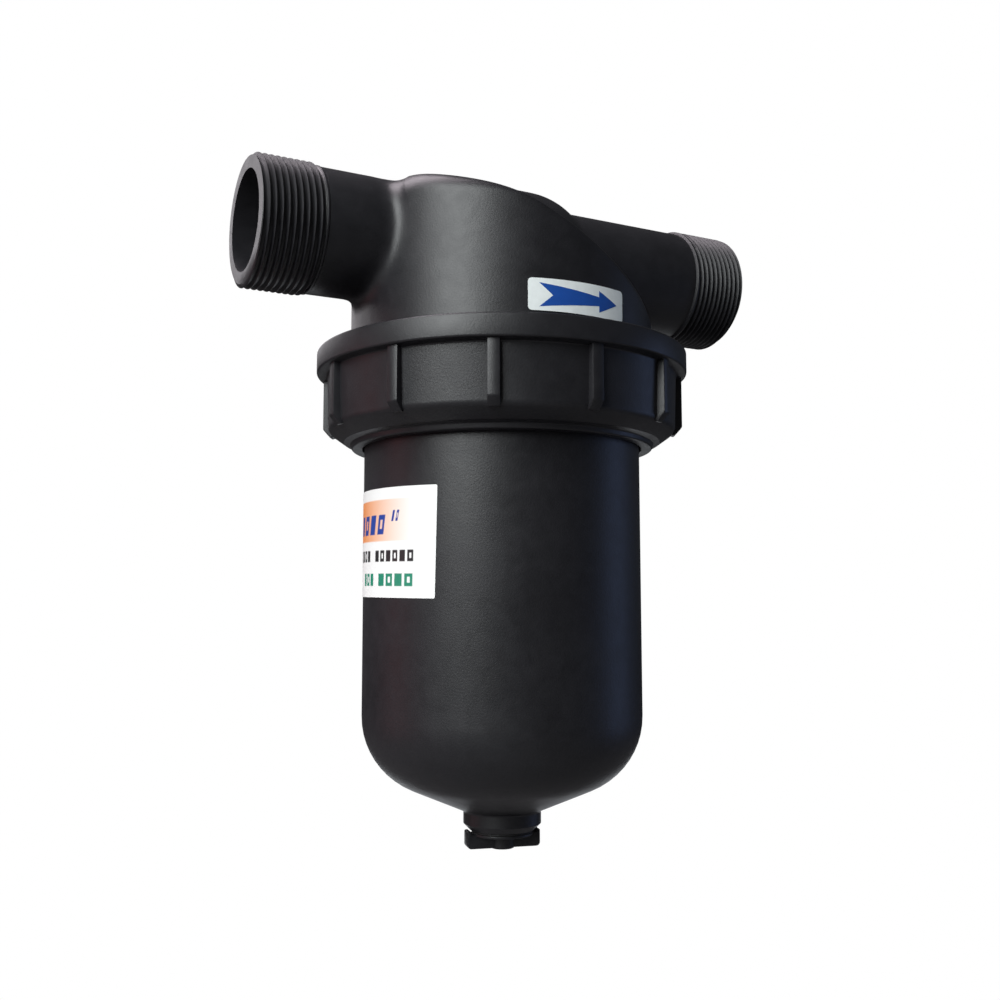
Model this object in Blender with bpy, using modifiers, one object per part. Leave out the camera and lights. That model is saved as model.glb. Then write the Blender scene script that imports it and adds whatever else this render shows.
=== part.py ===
"""Irrigation disc filter, 1 1/2 inch, in metres with +Z up.

A T-shaped head carries two threaded ports on one pipe axis (X): water goes in at -X and out at +X.
A ribbed collar nut holds a long bowl with a drain under it, and the disc cartridge hangs inside.
The origin is where the pipe axis crosses the bowl's axis (Z).
"""

import math

import bmesh
import bpy
from mathutils import Matrix

# Fits between pieces
GAP = 0.0003
THREAD_CLEARANCE = 0.0005
SLIDE_CLEARANCE = 0.0006
EDGE = 0.0005

# Ports: plain pipe, threaded end and bore, all on the pipe axis
PORT_REACH = 0.1027
PIPE_R = 0.0229
PIPE_WALL = 0.0047
THREAD_LENGTH = 0.0228
THREAD_RISE = 0.0010
PORT_CHAMFER = 0.0021

# Bowl with its flange, rounded bottom and drain boss
BOWL_R = 0.0532
BOWL_WALL = 0.0042
BOWL_FLANGE = 0.0062
BOWL_STRAIGHT = 0.1152
BOWL_CORNER_R = 0.029
BOWL_CONE_ANGLE = math.radians(23.0)
BOSS_R = 0.0150
BOSS_HEIGHT = 0.0072
BOSS_CHAMFER = 0.0024
BOSS_WALL = 0.0057

# Head: a drum whose roof falls from the inlet side to the outlet side
SKIRT_STEP = 0.0056
HEAD_WALL = 0.0045
HEAD_BOTTOM = 0.0615
HEAD_THREAD_STEP = 0.0039
HEAD_THREAD_LENGTH = 0.0185
ROOF_BELOW_PIPE = 0.0022
ROOF_START = 0.0502
ROOF_SLOPE = 0.55
ROOF_BEND = 0.003
ROUND_INLET = 0.012
ROUND_OUTLET = 0.0015
ROUND_FROM = 0.050
ROUND_TO = 0.014
LEDGE = 0.0025
INLET_FILLET = 0.006
FILLET_INSIDE = 0.014
FILLET_SINK = 0.0002

# Hump over the domed end of the filtered water's way to the outlet, and the socket under it
HUMP_RISE = 0.0053
HUMP_INLET_END = 0.027
HUMP_INLET_ROUND = 0.018
HUMP_OUTLET_START = 0.007
HUMP_OUTLET_ROUND = 0.032
WATER_WAY_STEP = 0.0008
WATER_WAY_ROUND = 0.014
SOCKET_DEPTH = 0.020
SOCKET_WALL = 0.0045
SOCKET_ABOVE_BOTTOM = 0.0055

# Collar nut
COLLAR_COVER = 0.0035
COLLAR_WALL = 0.0038
RIM_RISE = 0.0047
RIM_HEIGHT = 0.0082
RIBS = 12
RIB_RISE = 0.0030
RIB_WIDTH = 0.0042
RIB_TOE = 0.0016
LIP_THICKNESS = 0.0080
LIP_WIDTH = 0.0040
BEAD_WIDTH = 0.0033
BEAD_HEIGHT = 0.0025
CONE_HEIGHT = 0.0044

# Seal ring between head and bowl, in a groove in the bowl's top face
SEAL_SECTION_R = 0.0010

# Cartridge: spigot and top plate, core tube, disc packs, pressure plate and nut
SPIGOT_STEP = 0.0014
SPIGOT_LENGTH = 0.0185
SPIGOT_WALL = 0.0038
SPIGOT_SEAL_SECTION_R = 0.0011
TOP_PLATE_THICKNESS = 0.0045
TOP_PLATE_DROP = 0.0008
CORE_RECESS = 0.0020
RAW_WATER_GAP = 0.0095
DISC_WIDTH = 0.0158
DISC_PACKS = 6
DISC_CHAMFER = 0.0007
CORE_WALL = 0.0032
CORE_END = 0.0040
CORE_SHORT = 0.0040
CORE_TIERS = 2
SLOT_PAIRS = 3
SLOT_WIDTH = 0.0125
SLOT_BRIDGE = 0.0060
PLATE_ABOVE_CORNER = 0.0067
PLATE_RISE = 0.0007
PLATE_THICKNESS = 0.0050
STUD_R = 0.0060
STUD_PROUD = 0.0015
NUT_TRAVEL = 0.0080
NUT_HUB_WALL = 0.0042
NUT_HEIGHT = 0.0090
NUT_WING_R = 0.0165
NUT_WING_WIDTH = 0.0048
NUT_WINGS = 4

# Drain cap and its washer
PLUG_LENGTH = 0.0085
WASHER_THICKNESS = 0.0010
CAP_HUB_STEP = 0.0019
CAP_HEIGHT = 0.0054
CAP_ARM_R = 0.0170
CAP_ARM_WIDTH = 0.0058
CAP_ARMS = 3
CAP_ARM_TURN = math.radians(-115.0)

# How finely round pieces are divided
FINE = 40
PIPE_STEPS = 32
INNER_STEPS = 24
CORNER_STEPS = 5
SEAL_SIDES = 6
ROOF_RINGS = 3

# Colours of the plastics and the rubber
BLACK = (0.022, 0.023, 0.025)
RED = (0.42, 0.03, 0.02)
GREY = (0.06, 0.06, 0.065)
RUBBER = (0.015, 0.015, 0.015)

# Radii worked out from the sizes above
BORE_R = PIPE_R - PIPE_WALL
PORT_CREST_R = PIPE_R + THREAD_RISE
SKIRT_R = BOWL_R + SKIRT_STEP
HEAD_THREAD_R = SKIRT_R + HEAD_THREAD_STEP
COLLAR_BORE_R = HEAD_THREAD_R + THREAD_CLEARANCE
PANEL_R = COLLAR_BORE_R + COLLAR_WALL
HUMP_R = PIPE_R + HUMP_RISE
SPIGOT_R = BORE_R + SPIGOT_STEP
SOCKET_R = SPIGOT_R + THREAD_CLEARANCE
SEAL_R = (SKIRT_R - HEAD_WALL + HEAD_THREAD_R) / 2
DISC_R = BOWL_R - BOWL_WALL - RAW_WATER_GAP
DISC_BORE_R = DISC_R - DISC_WIDTH
CORE_R = DISC_BORE_R - SLIDE_CLEARANCE
PLATE_R = DISC_R + PLATE_RISE
DRAIN_BORE_R = BOSS_R - BOSS_WALL
PLUG_R = DRAIN_BORE_R - THREAD_CLEARANCE

# Levels worked out from the sizes above, negative because they lie under the pipe axis
ROOF_TOP = PIPE_R - ROOF_BELOW_PIPE
HEAD_BOTTOM_Z = -HEAD_BOTTOM
SKIRT_BOTTOM_Z = HEAD_BOTTOM_Z + HEAD_THREAD_LENGTH
SOCKET_MOUTH_Z = HEAD_BOTTOM_Z + SOCKET_ABOVE_BOTTOM
COLLAR_TOP_Z = SKIRT_BOTTOM_Z + COLLAR_COVER
BOWL_TOP_Z = HEAD_BOTTOM_Z - GAP
LIP_TOP_Z = BOWL_TOP_Z - BOWL_FLANGE - GAP
TOP_PLATE_Z = SOCKET_MOUTH_Z - TOP_PLATE_DROP
STACK_TOP_Z = TOP_PLATE_Z - TOP_PLATE_THICKNESS - GAP
PLATE_Z = BOWL_TOP_Z - BOWL_STRAIGHT + PLATE_ABOVE_CORNER
DISC_PITCH = (STACK_TOP_Z - PLATE_Z) / DISC_PACKS
NUT_Z = PLATE_Z - PLATE_THICKNESS - GAP

for old in list(bpy.data.objects):
    bpy.data.objects.remove(old)

part_collection = bpy.data.collections.new("disc_filter")
cutter_collection = bpy.data.collections.new("cutters")
bpy.context.scene.collection.children.link(part_collection)
bpy.context.scene.collection.children.link(cutter_collection)

filter_root = bpy.data.objects.new("filter_root", None)
part_collection.objects.link(filter_root)


def material(name, colour, roughness):
    """A plain moulded plastic or rubber."""
    made = bpy.data.materials.new(name)
    made.use_nodes = True
    shader = made.node_tree.nodes["Principled BSDF"]
    shader.inputs["Base Color"].default_value = (*colour, 1.0)
    shader.inputs["Roughness"].default_value = roughness
    shader.inputs["Metallic"].default_value = 0.0
    return made


def add_part(name, mesh, colour, roughness, height):
    """A node of the filter on the bowl's axis, its origin at the given height."""
    made = bpy.data.objects.new(name, mesh)
    part_collection.objects.link(made)
    made.parent = filter_root
    made.location = (0.0, 0.0, height)
    mesh.materials.append(material(name, colour, roughness))
    return made


def add_cutter(name, mesh, height=0.0):
    """A guide for a Boolean, left out of the part."""
    made = bpy.data.objects.new(name, mesh)
    cutter_collection.objects.link(made)
    made.location = (0.0, 0.0, height)
    made.hide_render = True
    made.display_type = "WIRE"
    return made


def profile_mesh(name, points, closed=True):
    """Edges through (radius, height) points, outer side downwards, for a Screw modifier to turn."""
    mesh = bpy.data.meshes.new(name)
    edges = [(i, i + 1) for i in range(len(points) - 1)]
    if closed:
        edges.append((len(points) - 1, 0))
    mesh.from_pydata([(radius, 0.0, height) for radius, height in points], edges, [])
    return mesh


def turn(made, steps):
    """Turn an object's profile about its own Z axis."""
    screw = made.modifiers.new("turn", "SCREW")
    screw.steps = steps
    screw.render_steps = steps
    screw.use_merge_vertices = True
    screw.merge_threshold = 0.00001
    screw.use_smooth_shade = True
    return made


def boolean(target, tool, operation):
    """Join or cut a piece with a guide."""
    cut = target.modifiers.new(tool.name, "BOOLEAN")
    cut.operation = operation
    cut.object = tool


def arc(centre_r, centre_z, radius, start, end, steps):
    """Points on an arc of a profile, angles from the outward direction."""
    points = []
    for i in range(steps + 1):
        angle = start + (end - start) * i / steps
        points.append((centre_r + radius * math.cos(angle), centre_z + radius * math.sin(angle)))
    return points


def solid_from_curve(name, curve):
    """The closed mesh of a curve object, its caps welded on."""
    drawn = bpy.data.objects.new(name, curve)
    cutter_collection.objects.link(drawn)
    bpy.context.view_layer.update()
    evaluated = drawn.evaluated_get(bpy.context.evaluated_depsgraph_get())
    mesh = bpy.data.meshes.new_from_object(evaluated)
    bm = bmesh.new()
    bm.from_mesh(mesh)
    bmesh.ops.remove_doubles(bm, verts=bm.verts, dist=0.00001)
    bmesh.ops.recalc_face_normals(bm, faces=bm.faces)
    bm.to_mesh(mesh)
    bm.free()
    bpy.data.objects.remove(drawn)
    return mesh


def blades(name, outline, width, count, first_turn):
    """Upright blades of a (radius, height) outline, evenly spaced about the Z axis."""
    curve = bpy.data.curves.new(name, "CURVE")
    curve.dimensions = "2D"
    spline = curve.splines.new("POLY")
    spline.points.add(len(outline) - 1)
    for point, (reach, height) in zip(spline.points, outline):
        point.co = (reach, height, 0.0, 1.0)
    spline.use_cyclic_u = True
    curve.fill_mode = "BOTH"
    curve.extrude = width / 2
    mesh = solid_from_curve(name, curve)
    bm = bmesh.new()
    bm.from_mesh(mesh)
    bmesh.ops.rotate(bm, verts=bm.verts, matrix=Matrix.Rotation(math.pi / 2, 3, "X"))
    blade = bm.verts[:] + bm.edges[:] + bm.faces[:]
    for i in range(1, count):
        copied = bmesh.ops.duplicate(bm, geom=blade)["geom"]
        corners = [item for item in copied if isinstance(item, bmesh.types.BMVert)]
        bmesh.ops.rotate(bm, verts=corners, matrix=Matrix.Rotation(2 * math.pi * i / count, 3, "Z"))
    bmesh.ops.rotate(bm, verts=bm.verts, matrix=Matrix.Rotation(first_turn, 3, "Z"))
    bm.to_mesh(mesh)
    bm.free()
    return mesh


def cylinder(name, radius, low, high):
    """A cylinder guide on the bowl's axis, from one height to another."""
    mesh = bpy.data.meshes.new(name)
    bm = bmesh.new()
    bmesh.ops.create_cone(bm, cap_ends=True, segments=PIPE_STEPS, radius1=radius, radius2=radius,
                          depth=high - low)
    bmesh.ops.translate(bm, verts=bm.verts, vec=(0, 0, (high + low) / 2))
    bm.to_mesh(mesh)
    bm.free()
    return add_cutter(name, mesh)


def lay_along_pipe(made, side):
    """Lay a turned guide along the pipe axis, its own +Z pointing to side +1 (outlet) or -1 (inlet)."""
    made.rotation_euler = (0.0, side * math.pi / 2, 0.0)
    return made


def roof_z(x):
    """Height of the head's roof: level at the inlet side, then falling towards the outlet."""
    along = max(x + ROOF_START, 0.0)
    fall = math.hypot(ROOF_SLOPE * along, ROOF_BEND) - ROOF_BEND
    return max(ROOF_TOP - fall, SKIRT_BOTTOM_Z + LEDGE)


def edge_rounding(x):
    """Radius between wall and roof: broad at the inlet side, nearly sharp at the outlet side."""
    share = min(max((-ROUND_TO - x) / (ROUND_FROM - ROUND_TO), 0.0), 1.0)
    eased = share * share * (3 - 2 * share)
    return ROUND_OUTLET + (ROUND_INLET - ROUND_OUTLET) * eased


def fit_under_roof(corner, radius, depth):
    """Move a corner of a drum's top onto the roof or its rounded edge."""
    reach = math.hypot(corner.co.x, corner.co.y)
    level_r = radius - ROUND_INLET
    drop = 0.0
    if reach > EDGE:
        rounding = max(edge_rounding(radius * corner.co.x / reach) - depth, ROUND_OUTLET / 2)
        new_reach = reach / level_r * (radius - rounding)
        if reach > level_r:
            inset = max((radius - reach) / ROUND_INLET, 0.0)
            new_reach = radius - rounding * inset
            drop = rounding * (1 - math.sqrt(max(1 - (1 - inset) ** 2, 0.0)))
        corner.co.x *= new_reach / reach
        corner.co.y *= new_reach / reach
    corner.co.z = roof_z(corner.co.x) - depth - drop


def spun_mesh(name, points, steps, move):
    """A solid swept about Z by a profile that starts and ends on the axis, its corners then moved."""
    mesh = profile_mesh(name, points, closed=False)
    bm = bmesh.new()
    bm.from_mesh(mesh)
    bmesh.ops.spin(bm, geom=bm.verts[:] + bm.edges[:], axis=(0, 0, 1), cent=(0, 0, 0),
                   angle=2 * math.pi, steps=steps, use_merge=True)
    bmesh.ops.remove_doubles(bm, verts=bm.verts, dist=0.00001)
    for corner in bm.verts:
        move(corner)
    bmesh.ops.recalc_face_normals(bm, faces=bm.faces)
    bm.to_mesh(mesh)
    bm.free()
    return mesh


def drum_mesh(name, foot, radius, depth):
    """A solid drum up to the roof. foot is its profile from the axis out and up to the wall, and
    depth is how far the drum's skin lies inside the head's own."""
    level_r = radius - ROUND_INLET
    above = PORT_REACH
    top = arc(level_r, above, ROUND_INLET, 0.0, math.pi / 2, CORNER_STEPS)
    top += [(level_r * share / ROOF_RINGS, above + ROUND_INLET) for share in range(ROOF_RINGS - 1, -1, -1)]

    def lower(corner):
        if corner.co.z > above / 2:
            fit_under_roof(corner, radius, depth)

    return spun_mesh(name, foot + top, FINE, lower)


def port_end(pipe_end):
    """Profile of a port from its open end inwards: chamfer, threaded length, plain pipe."""
    return [
        (0.0, PORT_REACH),
        (PORT_CREST_R - PORT_CHAMFER, PORT_REACH),
        (PORT_CREST_R, PORT_REACH - PORT_CHAMFER),
        (PORT_CREST_R, PORT_REACH - THREAD_LENGTH),
        (PIPE_R, PORT_REACH - THREAD_LENGTH - THREAD_RISE),
        (PIPE_R, pipe_end),
    ]


def inlet_fillet_mesh():
    """The swelling that blends the inlet's pipe into the drum. It grows sideways and downwards, its
    top stays just under the top of the pipe, and it follows the drum's round wall."""
    thin_r = PIPE_R - FILLET_SINK
    profile = [(0.0, SKIRT_R + INLET_FILLET)]
    for i in range(CORNER_STEPS + 1):
        angle = math.pi / 2 * i / CORNER_STEPS
        swell = INLET_FILLET / 2 * (1 - math.cos(angle))
        profile.append((thin_r + swell, SKIRT_R + INLET_FILLET * (1 - math.sin(angle))))
    profile += [(thin_r, SKIRT_R - FILLET_INSIDE), (0.0, SKIRT_R - FILLET_INSIDE)]

    def fit(corner):
        corner.co.x -= max(math.hypot(corner.co.x, corner.co.y) - thin_r, 0.0)
        corner.co.z -= SKIRT_R - math.sqrt(SKIRT_R ** 2 - corner.co.y ** 2)

    return spun_mesh("inlet_fillet", profile, PIPE_STEPS, fit)


def outlet_profile():
    """The outlet port, then the hump that its pipe runs into over the head's roof."""
    outlet_round_r = HUMP_R - HUMP_OUTLET_ROUND
    meeting = math.acos((PIPE_R - outlet_round_r) / HUMP_OUTLET_ROUND)
    outlet_end = arc(outlet_round_r, HUMP_OUTLET_START, HUMP_OUTLET_ROUND, meeting, 0.0, CORNER_STEPS)
    inlet_end = arc(HUMP_R - HUMP_INLET_ROUND, HUMP_INLET_ROUND - HUMP_INLET_END, HUMP_INLET_ROUND,
                    0.0, -math.pi / 2, CORNER_STEPS)
    return port_end(outlet_end[0][1])[:-1] + outlet_end + inlet_end + [(0.0, -HUMP_INLET_END)]


def water_way():
    """The filtered water's way up: the socket, then a wide bore with a domed end in the hump."""
    way_r = BORE_R + WATER_WAY_STEP
    dome = arc(way_r - WATER_WAY_ROUND, HUMP_R - HEAD_WALL - WATER_WAY_ROUND, WATER_WAY_ROUND,
               math.pi / 2, 0.0, CORNER_STEPS)
    socket_top = SOCKET_MOUTH_Z + SOCKET_DEPTH
    way = profile_mesh("water_way", [(0.0, dome[0][1])] + dome + [
        (way_r, socket_top),
        (SOCKET_R, socket_top),
        (SOCKET_R, SOCKET_MOUTH_Z - GAP),
        (0.0, SOCKET_MOUTH_Z - GAP),
    ], closed=False)
    return turn(add_cutter("water_way", way), PIPE_STEPS)


def make_head():
    """One moulding: drum, both ports, the hump between them, and the socket that hangs inside."""
    foot = [
        (0.0, HEAD_BOTTOM_Z),
        (HEAD_THREAD_R - EDGE, HEAD_BOTTOM_Z),
        (HEAD_THREAD_R, HEAD_BOTTOM_Z + EDGE),
        (HEAD_THREAD_R, SKIRT_BOTTOM_Z - HEAD_THREAD_STEP / 2),
        (SKIRT_R, SKIRT_BOTTOM_Z),
    ]
    head = add_part("head", drum_mesh("head", foot, SKIRT_R, 0.0), BLACK, 0.42, 0.0)

    inlet_profile = port_end(0.0) + [(0.0, 0.0)]
    inlet_port = add_cutter("inlet_port", profile_mesh("inlet_port", inlet_profile, closed=False))
    boolean(head, lay_along_pipe(turn(inlet_port, PIPE_STEPS), -1), "UNION")
    inlet_fillet = add_cutter("inlet_fillet", inlet_fillet_mesh())
    boolean(head, lay_along_pipe(inlet_fillet, -1), "UNION")
    outlet_port = add_cutter("outlet_port", profile_mesh("outlet_port", outlet_profile(), closed=False))
    boolean(head, lay_along_pipe(turn(outlet_port, PIPE_STEPS), 1), "UNION")

    chamber_r = SKIRT_R - HEAD_WALL
    chamber_foot = [(0.0, HEAD_BOTTOM_Z - HEAD_WALL), (chamber_r, HEAD_BOTTOM_Z - HEAD_WALL)]
    chamber = add_cutter("chamber", drum_mesh("chamber", chamber_foot, chamber_r, HEAD_WALL))
    inlet_bore = cylinder("inlet_bore", BORE_R, 0.0, PORT_REACH + GAP)
    boolean(chamber, lay_along_pipe(inlet_bore, -1), "UNION")
    socket_tube = cylinder("socket_tube", SOCKET_R + SOCKET_WALL, SOCKET_MOUTH_Z, HUMP_R)
    boolean(chamber, socket_tube, "DIFFERENCE")
    outlet_tube = cylinder("outlet_tube", PIPE_R, 0.0, SKIRT_R)
    boolean(chamber, lay_along_pipe(outlet_tube, 1), "DIFFERENCE")
    boolean(head, chamber, "DIFFERENCE")

    boolean(head, water_way(), "DIFFERENCE")
    outlet_bore = cylinder("outlet_bore", BORE_R, 0.0, PORT_REACH + GAP)
    boolean(head, lay_along_pipe(outlet_bore, 1), "DIFFERENCE")


def make_collar():
    """Ribbed ring nut: it screws onto the head, and its lip lifts the bowl's flange."""
    foot = LIP_TOP_Z - LIP_THICKNESS - COLLAR_TOP_Z
    lip_top = LIP_TOP_Z - COLLAR_TOP_Z
    cone_foot = foot + BEAD_HEIGHT
    cone_top = cone_foot + CONE_HEIGHT
    lip_r = BOWL_R + SLIDE_CLEARANCE
    lip_foot_r = BOWL_R + LIP_WIDTH
    bead_r = lip_foot_r + BEAD_WIDTH
    rim_r = PANEL_R + RIM_RISE
    rib_r = PANEL_R + RIB_RISE
    collar = add_part("collar_nut", profile_mesh("collar_nut", [
        (COLLAR_BORE_R + EDGE, 0.0),
        (rim_r - EDGE, 0.0),
        (rim_r, -EDGE),
        (rim_r, EDGE - RIM_HEIGHT),
        (rim_r - EDGE, -RIM_HEIGHT),
        (PANEL_R, -RIM_HEIGHT - EDGE),
        (PANEL_R, cone_top),
        (bead_r, cone_foot),
        (bead_r - EDGE, cone_foot - EDGE),
        (lip_foot_r, foot),
        (lip_r, foot),
        (lip_r, lip_top),
        (COLLAR_BORE_R, lip_top),
        (COLLAR_BORE_R, -EDGE),
    ]), BLACK, 0.42, COLLAR_TOP_Z)
    turn(collar, FINE)
    inside_r = COLLAR_BORE_R + COLLAR_WALL / 2
    ribs = add_cutter("ribs", blades("ribs", [
        (inside_r, -RIM_HEIGHT / 2),
        (rib_r, -RIM_HEIGHT / 2),
        (rib_r, cone_top + RIB_TOE),
        (rib_r - RIB_TOE, cone_top),
        (bead_r + RIB_TOE / 4, cone_foot + RIB_TOE / 3),
        (inside_r, cone_top),
    ], RIB_WIDTH, RIBS, math.pi / 2), COLLAR_TOP_Z)
    boolean(collar, ribs, "UNION")


def cone_z(start, radius):
    """Height at which the bowl's bottom cone, from a start point, reaches a radius."""
    return start[1] - (start[0] - radius) * math.tan(BOWL_CONE_ANGLE)


def bowl_outer():
    """Outer side of the bowl under its flange, downwards to the foot of the drain boss."""
    corner = arc(BOWL_R - BOWL_CORNER_R, -BOWL_STRAIGHT, BOWL_CORNER_R, 0.0,
                 BOWL_CONE_ANGLE - math.pi / 2, CORNER_STEPS + 1)
    boss_top = cone_z(corner[-1], BOSS_R)
    boss_foot = boss_top - BOSS_HEIGHT
    return corner + [
        (BOSS_R, boss_top),
        (BOSS_R, boss_foot + BOSS_CHAMFER),
        (BOSS_R - BOSS_CHAMFER, boss_foot),
    ]


BOSS_FOOT_Z = BOWL_TOP_Z + bowl_outer()[-1][1]


def make_bowl():
    """Long bowl in one moulding: grooved flange, rounded bottom and drain boss. Heights are from
    its top."""
    flange_r = COLLAR_BORE_R - SLIDE_CLEARANCE
    groove_inner = SEAL_R - SEAL_SECTION_R - GAP
    groove_outer = SEAL_R + SEAL_SECTION_R + GAP
    groove_foot = -2 * SEAL_SECTION_R - GAP
    inner = arc(BOWL_R - BOWL_CORNER_R, -BOWL_STRAIGHT, BOWL_CORNER_R - BOWL_WALL,
                BOWL_CONE_ANGLE - math.pi / 2, 0.0, CORNER_STEPS + 1)
    bowl = add_part("bowl", profile_mesh("bowl", [
        (groove_outer, 0.0),
        (flange_r - EDGE, 0.0),
        (flange_r, -EDGE),
        (flange_r, -BOWL_FLANGE),
        (BOWL_R, -BOWL_FLANGE),
    ] + bowl_outer() + [
        (DRAIN_BORE_R, BOSS_FOOT_Z - BOWL_TOP_Z),
        (DRAIN_BORE_R, cone_z(inner[0], DRAIN_BORE_R)),
    ] + inner + [
        (BOWL_R - BOWL_WALL, 0.0),
        (groove_inner, 0.0),
        (groove_inner, groove_foot),
        (groove_outer, groove_foot),
    ]), BLACK, 0.42, BOWL_TOP_Z)
    turn(bowl, FINE)


def seal_ring(name, major_r, section_r, height, steps):
    """A rubber ring of round section."""
    section = arc(major_r, 0.0, section_r, math.pi, -math.pi, SEAL_SIDES)[:-1]
    turn(add_part(name, profile_mesh(name, section), RUBBER, 0.7, height), steps)


def make_cartridge_top():
    """Top of the cartridge: spigot with a seal groove, and a plate recessed for the core tube.
    Heights are from the plate's upper face."""
    seal_z = SPIGOT_LENGTH / 2
    groove_half = SPIGOT_SEAL_SECTION_R + GAP
    groove_r = SOCKET_R - 2 * SPIGOT_SEAL_SECTION_R - 2 * GAP
    recess_z = CORE_RECESS - TOP_PLATE_THICKNESS
    top = add_part("cartridge_top", profile_mesh("cartridge_top", [
        (SPIGOT_R - SPIGOT_WALL, recess_z),
        (SPIGOT_R - SPIGOT_WALL, SPIGOT_LENGTH),
        (SPIGOT_R - EDGE, SPIGOT_LENGTH),
        (SPIGOT_R, SPIGOT_LENGTH - EDGE),
        (SPIGOT_R, seal_z + groove_half),
        (groove_r, seal_z + groove_half),
        (groove_r, seal_z - groove_half),
        (SPIGOT_R, seal_z - groove_half),
        (SPIGOT_R, 0.0),
        (PLATE_R, 0.0),
        (PLATE_R, -TOP_PLATE_THICKNESS),
        (CORE_R + GAP, -TOP_PLATE_THICKNESS),
        (CORE_R + GAP, recess_z),
    ]), GREY, 0.45, TOP_PLATE_Z)
    turn(top, INNER_STEPS)
    seal_ring("cartridge_seal", SOCKET_R - GAP - SPIGOT_SEAL_SECTION_R, SPIGOT_SEAL_SECTION_R,
              TOP_PLATE_Z + seal_z, INNER_STEPS)


def make_core():
    """Cartridge core: slotted tube, closed at its foot, and the threaded stud under it. Heights
    are from the top plate's upper face."""
    tube_top = CORE_RECESS - TOP_PLATE_THICKNESS - GAP
    tube_foot = PLATE_Z - TOP_PLATE_Z + CORE_SHORT
    stud_foot = NUT_Z - NUT_HEIGHT - NUT_TRAVEL - STUD_PROUD - TOP_PLATE_Z
    inner_r = CORE_R - CORE_WALL
    core = add_part("cartridge_core", profile_mesh("cartridge_core", [
        (0.0, tube_foot + CORE_END),
        (inner_r, tube_foot + CORE_END),
        (inner_r, tube_top),
        (CORE_R, tube_top),
        (CORE_R, tube_foot),
        (STUD_R, tube_foot),
        (STUD_R, stud_foot + EDGE),
        (STUD_R - EDGE, stud_foot),
        (0.0, stud_foot),
    ], closed=False), GREY, 0.45, TOP_PLATE_Z)
    turn(core, INNER_STEPS)

    slots_top = -TOP_PLATE_THICKNESS - SLOT_BRIDGE
    slots_foot = tube_foot + CORE_END + SLOT_BRIDGE
    tier = (slots_top - slots_foot + SLOT_BRIDGE) / CORE_TIERS
    for i in range(CORE_TIERS):
        top = slots_top - tier * i
        slot = [(-DISC_R, top), (-DISC_R, top - tier + SLOT_BRIDGE),
                (DISC_R, top - tier + SLOT_BRIDGE), (DISC_R, top)]
        name = f"core_slots_{i + 1}"
        bars = blades(name, slot, SLOT_WIDTH, 1, 0.0)
        for j in range(SLOT_PAIRS):
            cutter = add_cutter(f"{name}_{j + 1}", bars, TOP_PLATE_Z)
            cutter.rotation_euler = (0.0, 0.0, math.pi * j / SLOT_PAIRS)
            boolean(core, cutter, "DIFFERENCE")


def make_disc_stack():
    """The grooved discs, drawn as packs of about twenty: they ride on the pressure plate."""
    height = DISC_PITCH - GAP
    for i in range(DISC_PACKS):
        name = f"disc_pack_{i + 1:02d}"
        pack = add_part(name, profile_mesh(name, [
            (DISC_BORE_R, 0.0),
            (DISC_R - DISC_CHAMFER, 0.0),
            (DISC_R, -DISC_CHAMFER),
            (DISC_R, DISC_CHAMFER - height),
            (DISC_R - DISC_CHAMFER, -height),
            (DISC_BORE_R, -height),
        ]), RED, 0.45, STACK_TOP_Z - DISC_PITCH * i)
        turn(pack, INNER_STEPS)


def make_plate_and_nut():
    """The plate that presses the discs together, and the winged nut under it."""
    bore_r = STUD_R + THREAD_CLEARANCE
    plate = add_part("pressure_plate", profile_mesh("pressure_plate", [
        (bore_r, 0.0),
        (PLATE_R - EDGE, 0.0),
        (PLATE_R, -EDGE),
        (PLATE_R, -PLATE_THICKNESS / 2),
        (DISC_BORE_R, -PLATE_THICKNESS),
        (bore_r, -PLATE_THICKNESS),
    ]), GREY, 0.45, PLATE_Z)
    turn(plate, INNER_STEPS)
    hub_r = bore_r + NUT_HUB_WALL
    nut = add_part("wing_nut", profile_mesh("wing_nut", [
        (bore_r, 0.0),
        (hub_r, 0.0),
        (hub_r, EDGE - NUT_HEIGHT),
        (hub_r - EDGE, -NUT_HEIGHT),
        (bore_r, -NUT_HEIGHT),
    ]), GREY, 0.45, NUT_Z)
    turn(nut, INNER_STEPS)
    wings = add_cutter("wings", blades("wings", [
        (hub_r - NUT_HUB_WALL / 2, -NUT_HEIGHT / 5),
        (NUT_WING_R, -NUT_HEIGHT / 5),
        (NUT_WING_R, EDGE * 2 - NUT_HEIGHT),
        (hub_r - NUT_HUB_WALL / 2, EDGE * 2 - NUT_HEIGHT),
    ], NUT_WING_WIDTH, NUT_WINGS, 0.0), NUT_Z)
    boolean(nut, wings, "UNION")


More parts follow.
